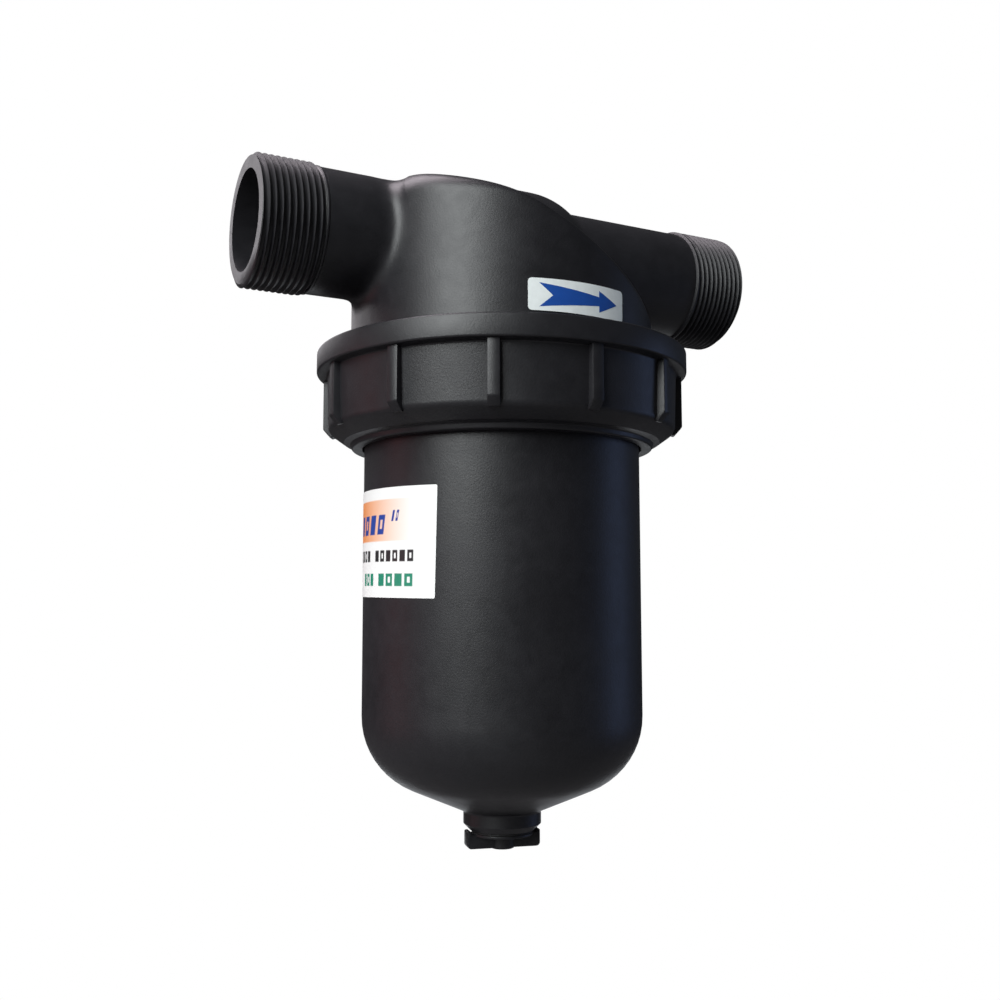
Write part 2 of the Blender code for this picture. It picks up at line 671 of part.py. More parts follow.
def make_drain():
    """Washer and three-armed drain cap, its plug up inside the bowl's boss."""
    washer_z = BOSS_FOOT_Z - GAP
    washer_r = BOSS_R - BOSS_CHAMFER
    turn(add_part("drain_washer", profile_mesh("drain_washer", [
        (DRAIN_BORE_R, 0.0),
        (washer_r, 0.0),
        (washer_r, -WASHER_THICKNESS),
        (DRAIN_BORE_R, -WASHER_THICKNESS),
    ]), RUBBER, 0.7, washer_z), INNER_STEPS)
    cap_z = washer_z - WASHER_THICKNESS - GAP
    hub_r = DRAIN_BORE_R + CAP_HUB_STEP
    cap = add_part("drain_cap", profile_mesh("drain_cap", [
        (0.0, PLUG_LENGTH),
        (PLUG_R - EDGE, PLUG_LENGTH),
        (PLUG_R, PLUG_LENGTH - EDGE),
        (PLUG_R, 0.0),
        (hub_r, 0.0),
        (hub_r, EDGE - CAP_HEIGHT),
        (hub_r - EDGE, -CAP_HEIGHT),
        (0.0, -CAP_HEIGHT),
    ], closed=False), BLACK, 0.42, cap_z)
    turn(cap, INNER_STEPS)
    arms = add_cutter("arms", blades("arms", [
        (hub_r / 2, -EDGE),
        (CAP_ARM_R - EDGE, -EDGE),
        (CAP_ARM_R, -EDGE * 2),
        (CAP_ARM_R, EDGE * 2 - CAP_HEIGHT),
        (CAP_ARM_R - EDGE, EDGE - CAP_HEIGHT),
        (hub_r / 2, EDGE - CAP_HEIGHT),
    ], CAP_ARM_WIDTH, CAP_ARMS, CAP_ARM_TURN), cap_z)
    boolean(cap, arms, "UNION")


make_head()
make_collar()
make_bowl()
seal_ring("bowl_seal", SEAL_R, SEAL_SECTION_R, HEAD_BOTTOM_Z - GAP - SEAL_SECTION_R, FINE)
make_cartridge_top()
make_core()
make_disc_stack()
make_plate_and_nut()
make_drain()
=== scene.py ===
"""Irrigation disc filter, 1 1/2 inch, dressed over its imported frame.

Metres, +Z up. The pipe runs along X, inlet at -X and outlet at +X, and the bowl hangs down Z.
"""
import math

import bmesh
import bpy
from mathutils import Matrix, Vector
from mathutils.bvhtree import BVHTree


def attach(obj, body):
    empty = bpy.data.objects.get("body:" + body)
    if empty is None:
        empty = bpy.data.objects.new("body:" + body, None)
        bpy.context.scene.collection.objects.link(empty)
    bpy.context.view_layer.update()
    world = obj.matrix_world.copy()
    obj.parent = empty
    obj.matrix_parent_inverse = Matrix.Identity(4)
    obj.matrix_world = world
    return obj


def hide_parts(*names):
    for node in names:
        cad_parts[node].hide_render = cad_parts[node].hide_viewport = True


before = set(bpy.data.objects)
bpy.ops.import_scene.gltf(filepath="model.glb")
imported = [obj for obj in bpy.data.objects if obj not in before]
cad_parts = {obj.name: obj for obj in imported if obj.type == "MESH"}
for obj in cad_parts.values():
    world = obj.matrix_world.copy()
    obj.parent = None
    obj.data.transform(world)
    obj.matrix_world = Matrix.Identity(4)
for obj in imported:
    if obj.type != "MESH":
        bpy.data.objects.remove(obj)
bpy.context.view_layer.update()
scene = bpy.context.scene
scene.view_settings.view_transform = "Standard"


# The studio. A dim room before a white backdrop, with the filter held in the air by its ports and
# lit by six large lamps. The camera stands a little under the collar, on the inlet's side.
CAMERA_PLACE = (-0.20023, -0.37904, -0.1374)
CAMERA_TILT, CAMERA_ROLL, CAMERA_TURN = 0.0986, 0.0012, -0.4843
CAMERA_LENS = 39.89
FLOOR_Z, FLOOR_SIZE = -0.50, 12.0
FADE_START, FADE_END = 0.40, 0.62
FLOOR_PALE, FLOOR_GREY = 0.9, 0.20
ROOM_COLOUR, ROOM_LIGHT = (0.94, 0.97, 1.0, 1), 0.06
BACKDROP_WHITE = (1, 1, 1, 1)
LIT_CENTRE = Vector((0, 0, -0.07))

camera_data = bpy.data.cameras.new("camera")
camera_data.lens = CAMERA_LENS
camera = bpy.data.objects.new("camera", camera_data)
camera.location = CAMERA_PLACE
camera.rotation_euler = (math.pi / 2 + CAMERA_TILT, CAMERA_ROLL, CAMERA_TURN)
scene.collection.objects.link(camera)
scene.camera = camera


def add(tree, kind, inputs=None, **settings):
    """A shader node. inputs maps a socket's name or number to a value or to the socket feeding it."""
    made = tree.nodes.new("ShaderNode" + kind)
    for key, value in settings.items():
        setattr(made, key, value)
    for key, value in (inputs or {}).items():
        if isinstance(value, bpy.types.NodeSocket):
            tree.links.new(value, made.inputs[key])
        else:
            made.inputs[key].default_value = value
    return made


def calc(tree, operation, *values):
    """The result of a Math node."""
    return add(tree, "Math", dict(enumerate(values)), operation=operation).outputs[0]


def empty_material(name):
    """A material whose node tree is cleared, and that tree."""
    made = bpy.data.materials.new(name)
    made.use_nodes = True
    made.node_tree.nodes.clear()
    return made, made.node_tree


floor_mesh = bpy.data.meshes.new("floor")
bm = bmesh.new()
bmesh.ops.create_grid(bm, x_segments=1, y_segments=1, size=FLOOR_SIZE / 2,
                      matrix=Matrix.Translation((0, 0, FLOOR_Z)))
bm.to_mesh(floor_mesh)
bm.free()
floor = bpy.data.objects.new("floor", floor_mesh)
scene.collection.objects.link(floor)

# The floor is matt near the filter and fades to plain white further out, as the camera sees it.
# Other rays find it grey, so that it throws little light up under the filter.
floor_paint, tree = empty_material("floor_paint")
camera_ray = add(tree, "LightPath").outputs["Is Camera Ray"]
pale = add(tree, "MapRange", {"Value": camera_ray, "To Min": FLOOR_GREY, "To Max": FLOOR_PALE})
matte = add(tree, "BsdfDiffuse", {"Color": pale.outputs["Result"]})
away = add(tree, "VectorMath", {0: add(tree, "TexCoord").outputs["Object"]}, operation="LENGTH")
fade = add(tree, "MapRange", {"Value": away.outputs["Value"], "From Min": FADE_START,
                              "From Max": FADE_END}, interpolation_type="SMOOTHSTEP")
seen = calc(tree, "MULTIPLY", fade.outputs["Result"], camera_ray)
mixed = add(tree, "MixShader", {0: seen, 1: matte.outputs[0], 2: add(tree, "Emission").outputs[0]})
add(tree, "OutputMaterial", {"Surface": mixed.outputs[0]})
floor_mesh.materials.append(floor_paint)

world = bpy.data.worlds.new("room")
scene.world = world
world.use_nodes = True
tree = world.node_tree
tree.nodes.clear()
room = add(tree, "Background", {"Color": ROOM_COLOUR, "Strength": ROOM_LIGHT})
backdrop = add(tree, "Background", {"Color": BACKDROP_WHITE})
mixed = add(tree, "MixShader", {0: add(tree, "LightPath").outputs["Is Camera Ray"],
                                1: room.outputs[0], 2: backdrop.outputs[0]})
add(tree, "OutputWorld", {"Surface": mixed.outputs[0]})


def softbox(name, azimuth, elevation, distance, width, height, watts, tint):
    """An area lamp that looks at the filter; azimuth 0 stands at -Y and 90 at +X."""
    lamp = bpy.data.lights.new(name, "AREA")
    lamp.shape = "RECTANGLE"
    lamp.size, lamp.size_y = width, height
    lamp.energy = watts
    lamp.color = tint
    made = bpy.data.objects.new(name, lamp)
    a, e = math.radians(azimuth), math.radians(elevation)
    back = Vector((math.sin(a) * math.cos(e), -math.cos(a) * math.cos(e), math.sin(e)))
    made.location = LIT_CENTRE + back * distance
    made.rotation_euler = (-back).to_track_quat("-Z", "Y").to_euler()
    made.visible_camera = False
    scene.collection.objects.link(made)


softbox("window", -60, 27, 1.3, 0.8, 1.1, 23.5, (0.96, 1.0, 1.0))
softbox("sky", -130, 62, 1.2, 0.7, 0.7, 10.0, (1.0, 0.90, 0.97))
softbox("back", -165, 26, 1.3, 1.0, 0.5, 3.5, (1.0, 0.96, 1.0))
softbox("table", 152, -33, 0.62, 0.5, 0.25, 0.5, (0.9, 0.95, 1.0))
softbox("warm_side", -118, -5, 1.3, 0.4, 0.9, 1.0, (1.0, 0.35, 0.38))
softbox("cool_side", 75, -4, 1.4, 0.5, 0.9, 1.6, (0.40, 0.55, 1.0))


# The head. One black polypropylene moulding: a drum whose roof slopes to the outlet, a straight
# pipe across it with a hump where the water turns, blended with fillets where they meet. Its ports
# and its foot carry real helical threads, and its water ways are cut out of it.
PIPE_R, BORE_R, PORT_REACH, PLAIN_END = 0.0229, 0.0182, 0.1027, 0.0795
PORT_CREST_R, PORT_ROOT_R, PORT_PITCH, PORT_FLATS = 0.0239, 0.02242, 0.002309, (0.40, 0.10)
PORT_END_R, PORT_RUN_OUT = 0.0231, 0.6
LEAD_START, LEAD_END, LEAD_BACK, LEAD_SINK = 0.0790, 0.0800, 0.0003, 0.0002
LEAD_RINGS = ((1, 0.0239), (-1, 0.0232))
WALL_R, HEAD_WALL, DRUM_FOOT, HEAD_FOOT = 0.0588, 0.0045, -0.0460, -0.0615
ROOF_TOP, ROOF_START, ROOF_SLOPE, ROOF_BEND = 0.0207, 0.0502, 0.55, 0.003
ROUND_INLET, ROUND_OUTLET, ROUND_FROM, ROUND_TO = 0.012, 0.0015, -0.050, -0.014
FLAT_ROOF_Z, AXIS_NEAR = 0.1, 0.0005
HUMP_R, HUMP_STEPS = 0.0282, 16
HUMP_INLET_X, HUMP_INLET_ROUND = -0.009, 0.018
HUMP_OUTLET_X, HUMP_OUTLET_ROUND = 0.007, 0.032
NECK_PITCH, NECK_ROOT_R, NECK_CREST_R, MALE_FLATS = 0.006, 0.0594, 0.0627, (0.2, 0.2)
NECK_END_R, NECK_TOP, NECK_RUN_OUT = 0.0612, -0.0445, 1.2
SOCKET_MOUTH, SOCKET_R, SOCKET_TOP, SOCKET_TUBE_R = -0.0560, 0.0201, -0.0360, 0.0246
WAY_R, WAY_ROUND, CUT_PAST = 0.0190, 0.014, 0.001
FILLETS = ((0.0052, 120, True), (0.0030, 40, False))
FILLET_SPLIT_X, FILLET_END_X, FILLET_CLEAR = -0.045, 0.068, 0.004
RELAX = {"factor": 0.5, "use_axis_x": True, "use_axis_y": True, "use_axis_z": True}
SKIN_GRAIN, SKIN_RELAXES, THIN_SHARE = 0.0006, 2, 0.35
PIPE_STEPS, DRUM_STEPS, ROOF_RINGS, ROUND_STEPS = 96, 256, 24, 12
FINE, EDGE, SOFT, BLUNT = 0.0002, 0.0003, 0.0004, 0.0005
THREAD_EDGE, THREAD_EDGE_STEPS = 0.05, 2
MERGE, THREAD_MERGE, WELD, ON_PLANE = 1e-6, 2e-6, 3e-6, 1e-7
SHARP_ANGLE = 32
WAVE_TINT, SCUFF_TINT, BASE_TINT = 0.7, 0.5, 0.4
WAVE_DULL, SCUFF_DULL, NOISE_MIDDLE = 0.16, 0.14, 0.5
BLACK = (0.0108, 0.0104, 0.0128)


def arc(centre_r, centre_z, radius, start, end, steps):
    """Points of an arc in a profile, angles in degrees from the outward direction."""
    return [(centre_r + radius * math.cos(math.radians(start + (end - start) * i / steps)),
             centre_z + radius * math.sin(math.radians(start + (end - start) * i / steps)))
            for i in range(steps + 1)]


def soften(corners, steps=4):
    """Profile points from (radius, height, rounding) corners."""
    points = []
    for i, (r, z, rounding) in enumerate(corners):
        if not rounding:
            points.append((r, z))
            continue
        corner = Vector((r, z))
        back = (Vector(corners[i - 1][:2]) - corner).normalized()
        ahead = (Vector(corners[(i + 1) % len(corners)][:2]) - corner).normalized()
        half = back.angle(ahead) / 2
        centre = corner + (back + ahead).normalized() * rounding / math.sin(half)
        first = corner + back * rounding / math.tan(half) - centre
        last = corner + ahead * rounding / math.tan(half) - centre
        start = math.degrees(math.atan2(first.y, first.x))
        sweep = (math.degrees(math.atan2(last.y, last.x)) - start + 180) % 360 - 180
        points += arc(centre.x, centre.y, rounding, start, start + sweep, steps)
    return points


def draw(bm, points, closed):
    """Put a (radius, height) profile in a bmesh, in the XZ plane."""
    profile = [bm.verts.new((r, 0, z)) for r, z in points]
    for a, b in zip(profile, profile[1:]):
        bm.edges.new((a, b))
    if closed:
        bm.edges.new((profile[-1], profile[0]))


def turned(points, steps, closed=True):
    """A bmesh spun from a (radius, height) profile about Z."""
    bm = bmesh.new()
    draw(bm, points, closed)
    bmesh.ops.spin(bm, geom=bm.verts[:] + bm.edges[:], cent=(0, 0, 0), axis=(0, 0, 1),
                   angle=2 * math.pi, steps=steps, use_merge=True)
    bmesh.ops.remove_doubles(bm, verts=bm.verts, dist=MERGE)
    bmesh.ops.recalc_face_normals(bm, faces=bm.faces)
    return bm


def rod(radius, low, high, steps):
    """A plain cylinder about Z."""
    return turned([(0, low), (radius, low), (radius, high), (0, high)], steps, closed=False)


def threaded(low, high, root_r, crest_r, pitch, flats, steps, limit):
    """A rod about Z with a right-hand thread. flats are the root's and the crest's shares of a
    pitch, and limit gives the largest radius at a height, for the thread's start and end."""
    root, crest = flats
    first = low - 2 * pitch
    corners = [(root_r, first, 0)]
    for i in range(math.ceil((high - low) / pitch) + 3):
        for share, r in ((root / 2, root_r), ((1 - crest) / 2, crest_r), ((1 + crest) / 2, crest_r),
                         (1 - root / 2, root_r)):
            corners.append((r, first + (i + share) * pitch, pitch * THREAD_EDGE))
    corners[-1] = (*corners[-1][:2], 0)
    bm = bmesh.new()
    draw(bm, soften(corners, THREAD_EDGE_STEPS), closed=False)
    bmesh.ops.spin(bm, geom=bm.verts[:] + bm.edges[:], cent=(0, 0, 0), axis=(0, 0, 1),
                   dvec=(0, 0, pitch / steps), angle=2 * math.pi, steps=steps, use_merge=False)
    bmesh.ops.remove_doubles(bm, verts=bm.verts, dist=THREAD_MERGE)
    for corner in bm.verts:
        reach = math.hypot(corner.co.x, corner.co.y)
        share = min(limit(corner.co.z) / reach, 1)
        corner.co.x *= share
        corner.co.y *= share
    for z, is_top in ((low, False), (high, True)):
        cut = bmesh.ops.bisect_plane(bm, geom=bm.verts[:] + bm.edges[:] + bm.faces[:],
                                     dist=ON_PLANE, plane_co=(0, 0, z), plane_no=(0, 0, 1),
                                     clear_outer=is_top, clear_inner=not is_top)
        rim = [item for item in cut["geom_cut"] if isinstance(item, bmesh.types.BMEdge)]
        bmesh.ops.edgeloop_fill(bm, edges=rim)
    bmesh.ops.recalc_face_normals(bm, faces=bm.faces)
    return bm


def lay(bm, side):
    """Lay a shape made about Z along the pipe, its top towards side +1 (outlet) or -1 (inlet)."""
    bmesh.ops.rotate(bm, verts=bm.verts, matrix=Matrix.Rotation(side * math.pi / 2, 3, "Y"))
    return bm


def shape(name, *parts):
    """An object from one or more bmeshes, which are freed."""
    mesh = bpy.data.meshes.new(name)
    whole = parts[0]
    for part in parts[1:]:
        part.to_mesh(mesh)
        whole.from_mesh(mesh)
        part.free()
    whole.to_mesh(mesh)
    whole.free()
    made = bpy.data.objects.new(name, mesh)
    scene.collection.objects.link(made)
    return made


def settle(made):
    """Give an object its evaluated mesh and drop its modifiers."""
    bpy.context.view_layer.update()
    graph = bpy.context.evaluated_depsgraph_get()
    mesh = bpy.data.meshes.new_from_object(made.evaluated_get(graph))
    made.modifiers.clear()
    made.data = mesh


def combine(made, operation, *tools):
    """Join or cut an object with others, which are used up."""
    for tool in tools:
        step = made.modifiers.new(tool.name, "BOOLEAN")
        step.operation = operation
        step.object = tool
    settle(made)
    for tool in tools:
        bpy.data.objects.remove(tool)
    bm = bmesh.new()
    bm.from_mesh(made.data)
    bmesh.ops.remove_doubles(bm, verts=bm.verts, dist=WELD)
    bmesh.ops.dissolve_degenerate(bm, edges=bm.edges, dist=WELD)
    bm.to_mesh(made.data)
    bm.free()
    return made


def finish_piece(made, body, nodes, material, angle=SHARP_ANGLE):
    """Shade a piece, give it its material and hang it on its body in place of its nodes."""
    made.data.shade_smooth()
    made.data.set_sharp_from_angle(angle=math.radians(angle))
    made.data.materials.clear()
    made.data.materials.append(material)
    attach(made, body)
    if nodes:
        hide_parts(*nodes)


def roof_z(x):
    """Height of the drum's roof over a place along the pipe."""
    along = max(x + ROOF_START, 0.0)
    return ROOF_TOP + ROOF_BEND - math.hypot(ROOF_SLOPE * along, ROOF_BEND)


def drum(foot, radius, depth, steps, rings, corner_steps):
    """A solid drum up to the roof, its skin lying depth inside the head's own. It is turned with a
    flat roof high up, which is then brought down to the slope with its changing rounding."""
    level_r = radius - ROUND_INLET
    top = arc(level_r, FLAT_ROOF_Z, ROUND_INLET, 0, 90, corner_steps)
    top += [(level_r * i / rings, FLAT_ROOF_Z + ROUND_INLET) for i in range(rings - 1, -1, -1)]
    bm = turned(foot + top, steps, closed=False)
    for corner in bm.verts:
        if corner.co.z < FLAT_ROOF_Z / 2:
            continue
        reach = math.hypot(corner.co.x, corner.co.y)
        drop = 0.0
        if reach > AXIS_NEAR:
            share = (ROUND_TO - radius * corner.co.x / reach) / (ROUND_TO - ROUND_FROM)
            share = min(max(share, 0.0), 1.0)
            eased = share * share * (3 - 2 * share)
            rounding = ROUND_OUTLET + (ROUND_INLET - ROUND_OUTLET) * eased
            rounding = max(rounding - depth, ROUND_OUTLET / 2)
            new_reach = reach / level_r * (radius - rounding)
            if reach > level_r:
                inset = max((radius - reach) / ROUND_INLET, 0.0)
                new_reach = radius - rounding * inset
                drop = rounding * (1 - math.sqrt(max(1 - (1 - inset) ** 2, 0.0)))
            corner.co.x *= new_reach / reach
            corner.co.y *= new_reach / reach
        corner.co.z = roof_z(corner.co.x) - depth - drop
    return bm


def hump_arc(x, rounding, start, end):
    """One end of the hump's outline, where its radius falls to the pipe's."""
    return arc(HUMP_R - rounding, x, rounding, start, end, HUMP_STEPS)


outlet_fall = math.degrees(math.acos(1 - (HUMP_R - PIPE_R) / HUMP_OUTLET_ROUND))
inlet_fall = math.degrees(math.acos(1 - (HUMP_R - PIPE_R) / HUMP_INLET_ROUND))
pipe_run = [(0.0, PLAIN_END), (PIPE_R, PLAIN_END)]
pipe_run += hump_arc(HUMP_OUTLET_X, HUMP_OUTLET_ROUND, outlet_fall, 0)
pipe_run += hump_arc(HUMP_INLET_X, HUMP_INLET_ROUND, 0, -inlet_fall)
pipe_run += [(PIPE_R, -PLAIN_END), (0.0, -PLAIN_END)]

drum_foot = [(0.0, DRUM_FOOT), (WALL_R, DRUM_FOOT)]
drum_bm = drum(drum_foot, WALL_R, 0.0, DRUM_STEPS, ROOF_RINGS, ROUND_STEPS)
pipe_bm = lay(turned(pipe_run, 2 * PIPE_STEPS, closed=False), 1)
drum_tree = BVHTree.FromBMesh(drum_bm)
pipe_tree = BVHTree.FromBMesh(pipe_bm)
head = shape("head_moulding", drum_bm, pipe_bm)
one_skin = head.modifiers.new("one_skin", "REMESH")
one_skin.mode = "VOXEL"
one_skin.voxel_size = SKIN_GRAIN
settle(head)

# Where pipe and drum meet, their corner is drawn out into a fillet, wider at the inlet.
bm = bmesh.new()
bm.from_mesh(head.data)
for i in range(SKIN_RELAXES):
    bmesh.ops.smooth_vert(bm, verts=bm.verts, **RELAX)
for reach, rounds, at_inlet in FILLETS:
    corner = [v for v in bm.verts
              if (v.co.x < FILLET_SPLIT_X) == at_inlet
              and abs(v.co.x) < FILLET_END_X and v.co.z > DRUM_FOOT + FILLET_CLEAR
              and drum_tree.find_nearest(v.co, reach)[0] is not None
              and pipe_tree.find_nearest(v.co, reach)[0] is not None]
    for i in range(rounds):
        bmesh.ops.smooth_vert(bm, verts=corner, **RELAX)
bm.to_mesh(head.data)
bm.free()
thin = head.modifiers.new("thin", "DECIMATE")
thin.ratio = THIN_SHARE
settle(head)


def port_limit(z):
    """Chamfer at a port's open end, and the thread's run-out beside the lead ring."""
    return min(PORT_END_R + PORT_REACH - z, PIPE_R + (z - LEAD_END) * PORT_RUN_OUT)


def neck_limit(z):
    """Chamfer at the head's foot, and the run-out of its coarse thread."""
    return min(NECK_END_R + z - HEAD_FOOT, NECK_ROOT_R + (NECK_TOP - z) * NECK_RUN_OUT)


def bore(name, side):
    """A cutter for a port's bore, from the middle out past its open end."""
    return shape(name, lay(rod(BORE_R, 0, PORT_REACH + CUT_PAST, PIPE_STEPS), side))


ends = []
for side, ring_r in LEAD_RINGS:
    port = shape("port", lay(threaded(
        LEAD_START, PORT_REACH, PORT_ROOT_R, PORT_CREST_R, PORT_PITCH, PORT_FLATS, PIPE_STEPS,
        port_limit), side))
    lead = turned(soften([
        (0, LEAD_START - LEAD_BACK, 0), (PIPE_R - LEAD_SINK, LEAD_START - LEAD_BACK, 0),
        (ring_r, LEAD_START + LEAD_SINK, FINE), (ring_r, LEAD_END, EDGE), (0, LEAD_END, 0),
    ]), 2 * PIPE_STEPS, closed=False)
    ends.append(combine(port, "UNION", shape("lead", lay(lead, side))))
neck = shape("neck", threaded(HEAD_FOOT, NECK_TOP, NECK_ROOT_R, NECK_CREST_R, NECK_PITCH,
                              MALE_FLATS, 2 * PIPE_STEPS, neck_limit))
combine(head, "UNION", neck, *ends)

chamber_r = WALL_R - HEAD_WALL
chamber_foot = [(0.0, HEAD_FOOT - CUT_PAST), (chamber_r, HEAD_FOOT - CUT_PAST)]
hollow = shape("hollow", drum(chamber_foot, chamber_r, HEAD_WALL, PIPE_STEPS, ROOF_RINGS // 2,
                              ROUND_STEPS // 2))
combine(hollow, "UNION", bore("inlet_bore", -1))
combine(hollow, "DIFFERENCE",
        shape("socket_tube", rod(SOCKET_TUBE_R, SOCKET_MOUTH, HUMP_R, PIPE_STEPS)),
        shape("outlet_tube", lay(rod(PIPE_R, 0, WALL_R, PIPE_STEPS), 1)))
way = [(0.0, HUMP_R - HEAD_WALL)]
way += arc(WAY_R - WAY_ROUND, HUMP_R - HEAD_WALL - WAY_ROUND, WAY_ROUND, 90, 0, ROUND_STEPS)
way += [(WAY_R, SOCKET_TOP), (SOCKET_R, SOCKET_TOP), (SOCKET_R, SOCKET_MOUTH - CUT_PAST),
        (0.0, SOCKET_MOUTH - CUT_PAST)]
combine(hollow, "UNION", shape("water_way", turned(way, PIPE_STEPS, closed=False)),
        bore("outlet_bore", 1))
combine(head, "DIFFERENCE", hollow)


def skin_group():
    """Shader group for moulded skins: fine grain and slow waves as a normal, with slow changes of
    colour and roughness."""
    made = bpy.data.node_groups.new("moulded_skin", "ShaderNodeTree")
    for name, kind in (("Color", "Color"), ("Roughness", "Float"), ("Grain", "Float"),
                       ("Grain Scale", "Float")):
        made.interface.new_socket(name, in_out="INPUT", socket_type="NodeSocket" + kind)
    for name, kind in (("Color", "Color"), ("Roughness", "Float"), ("Normal", "Vector")):
        made.interface.new_socket(name, in_out="OUTPUT", socket_type="NodeSocket" + kind)
    given = made.nodes.new("NodeGroupInput").outputs
    spot = add(made, "TexCoord").outputs["Object"]
    grain = add(made, "TexNoise", {"Vector": spot, "Scale": given["Grain Scale"],
                                   "Detail": 2.0}).outputs["Fac"]
    broad = add(made, "TexNoise", {"Vector": spot, "Scale": 28.0, "Detail": 3.0}).outputs["Fac"]
    scuff = add(made, "TexNoise", {"Vector": spot, "Scale": 190.0, "Detail": 5.0,
                                   "Distortion": 0.6}).outputs["Fac"]
    waves = add(made, "Bump", {"Height": broad, "Strength": 0.35, "Distance": 0.0006})
    relief = add(made, "Bump", {"Height": grain, "Strength": given["Grain"], "Distance": 0.00008,
                                "Normal": waves.outputs[0]})
    lift = calc(made, "MULTIPLY_ADD", scuff, SCUFF_TINT, BASE_TINT)
    lift = calc(made, "MULTIPLY_ADD", broad, WAVE_TINT, lift)
    tint = add(made, "VectorMath", {0: given["Color"], 1: lift}, operation="MULTIPLY").outputs[0]
    dull = given["Roughness"]
    for noise, share in ((broad, WAVE_DULL), (scuff, SCUFF_DULL)):
        dull = calc(made, "MULTIPLY_ADD", calc(made, "SUBTRACT", noise, NOISE_MIDDLE), share, dull)
    out = made.nodes.new("NodeGroupOutput").inputs
    made.links.new(tint, out["Color"])
    made.links.new(dull, out["Roughness"])
    made.links.new(relief.outputs[0], out["Normal"])
    return made


moulded_skin = skin_group()


def skinned(tree, colour, roughness, grain, grain_scale):
    """The outputs of the shared skin group, set to one material's own values."""
    return add(tree, "Group", {"Color": (*colour, 1), "Roughness": roughness, "Grain": grain,
                               "Grain Scale": grain_scale}, node_tree=moulded_skin).outputs


def moulded(name, colour, roughness, grain, grain_scale):
    """A moulded plastic or rubber over the shared skin group."""
    made, tree = empty_material(name)
    skin = skinned(tree, colour, roughness, grain, grain_scale)
    surface = add(tree, "BsdfPrincipled", {"Base Color": skin["Color"], "Normal": skin["Normal"],
                                           "Roughness": skin["Roughness"]})
    add(tree, "OutputMaterial", {"Surface": surface.outputs[0]})
    return made


black_plastic = moulded("black_polypropylene", BLACK, roughness=0.44, grain=0.55,
                        grain_scale=1500.0)
finish_piece(head, "head", ["head"], black_plastic)


# The flow sticker. White vinyl with a blue arrow towards the outlet, wrapped round the drum.
STICKER_AZ, STICKER_Z, STICKER_ROUND = (-19.0, 19.4), (-0.0354, -0.0240), 0.0014
STICKER_LIFT, STICKER_FILM, PRINT_FILM, PRINT_LIFT = 0.00006, 0.00012, 0.00004, 0.00001
ARROW_TAIL_X, ARROW_NOTCH_X, ARROW_BARB_X, ARROW_TIP_X = -0.0158, -0.0108, 0.0078, 0.0164
ARROW_Z, ARROW_TAIL_HALF, ARROW_NECK_HALF, ARROW_BARB_HALF = -0.0298, 0.0042, 0.0016, 0.0039
STICKER_WHITE, ARROW_BLUE = (0.84, 0.88, 0.88), (0.012, 0.075, 0.36)
CORNER_STEPS, SHEET_CELLS = 6, 48
INK_UNEVEN, INK_BASE = 0.16, 0.92
HAZE_DULL, VINYL_DULL = 0.2, 0.28


def rounded_box(low, high, rounding):
    """Points of a rounded rectangle's flat outline."""
    (x0, z0), (x1, z1) = low, high
    corners = [(x0, z0, rounding), (x1, z0, rounding), (x1, z1, rounding), (x0, z1, rounding)]
    return soften(corners, CORNER_STEPS)


def wrapped(outline, radius, film, turn, cells=SHEET_CELLS, tilt=0.0):
    """A thin sheet with a flat outline, wrapped round the Z axis; its first coordinate is a length
    along the arc from -Y, and its second a height. Its UVs run over the outline's box, and tilt
    turns it a little on the wall."""
    bm = bmesh.new()
    bm.faces.new([bm.verts.new((x, 0, z)) for x, z in outline])
    x_low, x_high = min(x for x, z in outline), max(x for x, z in outline)
    z_low, z_high = min(z for x, z in outline), max(z for x, z in outline)
    for i in range(1, cells):
        x = x_low + (x_high - x_low) * i / cells
        bmesh.ops.bisect_plane(bm, geom=bm.verts[:] + bm.edges[:] + bm.faces[:], dist=ON_PLANE,
                               plane_co=(x, 0, 0), plane_no=(1, 0, 0))
    flat = bmesh.ops.extrude_face_region(bm, geom=bm.faces[:])["geom"]
    for item in flat:
        if isinstance(item, bmesh.types.BMVert):
            item.co.y = -film
    uv = bm.loops.layers.uv.new("UVMap")
    for face in bm.faces:
        for loop in face.loops:
            loop[uv].uv = ((loop.vert.co.x - x_low) / (x_high - x_low),
                           (loop.vert.co.z - z_low) / (z_high - z_low))
    middle_z = (z_low + z_high) / 2
    for v in bm.verts:
        along, rise = v.co.x, v.co.z - middle_z
        angle = (along * math.cos(tilt) + rise * math.sin(tilt)) / radius + turn
        r = radius - v.co.y
        v.co = (r * math.sin(angle), -r * math.cos(angle),
                middle_z + rise * math.cos(tilt) - along * math.sin(tilt))
    bmesh.ops.recalc_face_normals(bm, faces=bm.faces)
    return bm


def vinyl(tree, colour):
    """Finish a printed film's material over a colour socket."""
    spot = add(tree, "TexCoord").outputs["Object"]
    haze = add(tree, "TexNoise", {"Vector": spot, "Scale": 260.0, "Detail": 4.0}).outputs["Fac"]
    relief = add(tree, "Bump", {"Height": haze, "Strength": 0.12, "Distance": 0.0002})
    dull = calc(tree, "MULTIPLY_ADD", haze, HAZE_DULL, VINYL_DULL)
    surface = add(tree, "BsdfPrincipled", {"Base Color": colour, "Normal": relief.outputs[0],
                                           "Roughness": dull})
    add(tree, "OutputMaterial", {"Surface": surface.outputs[0]})


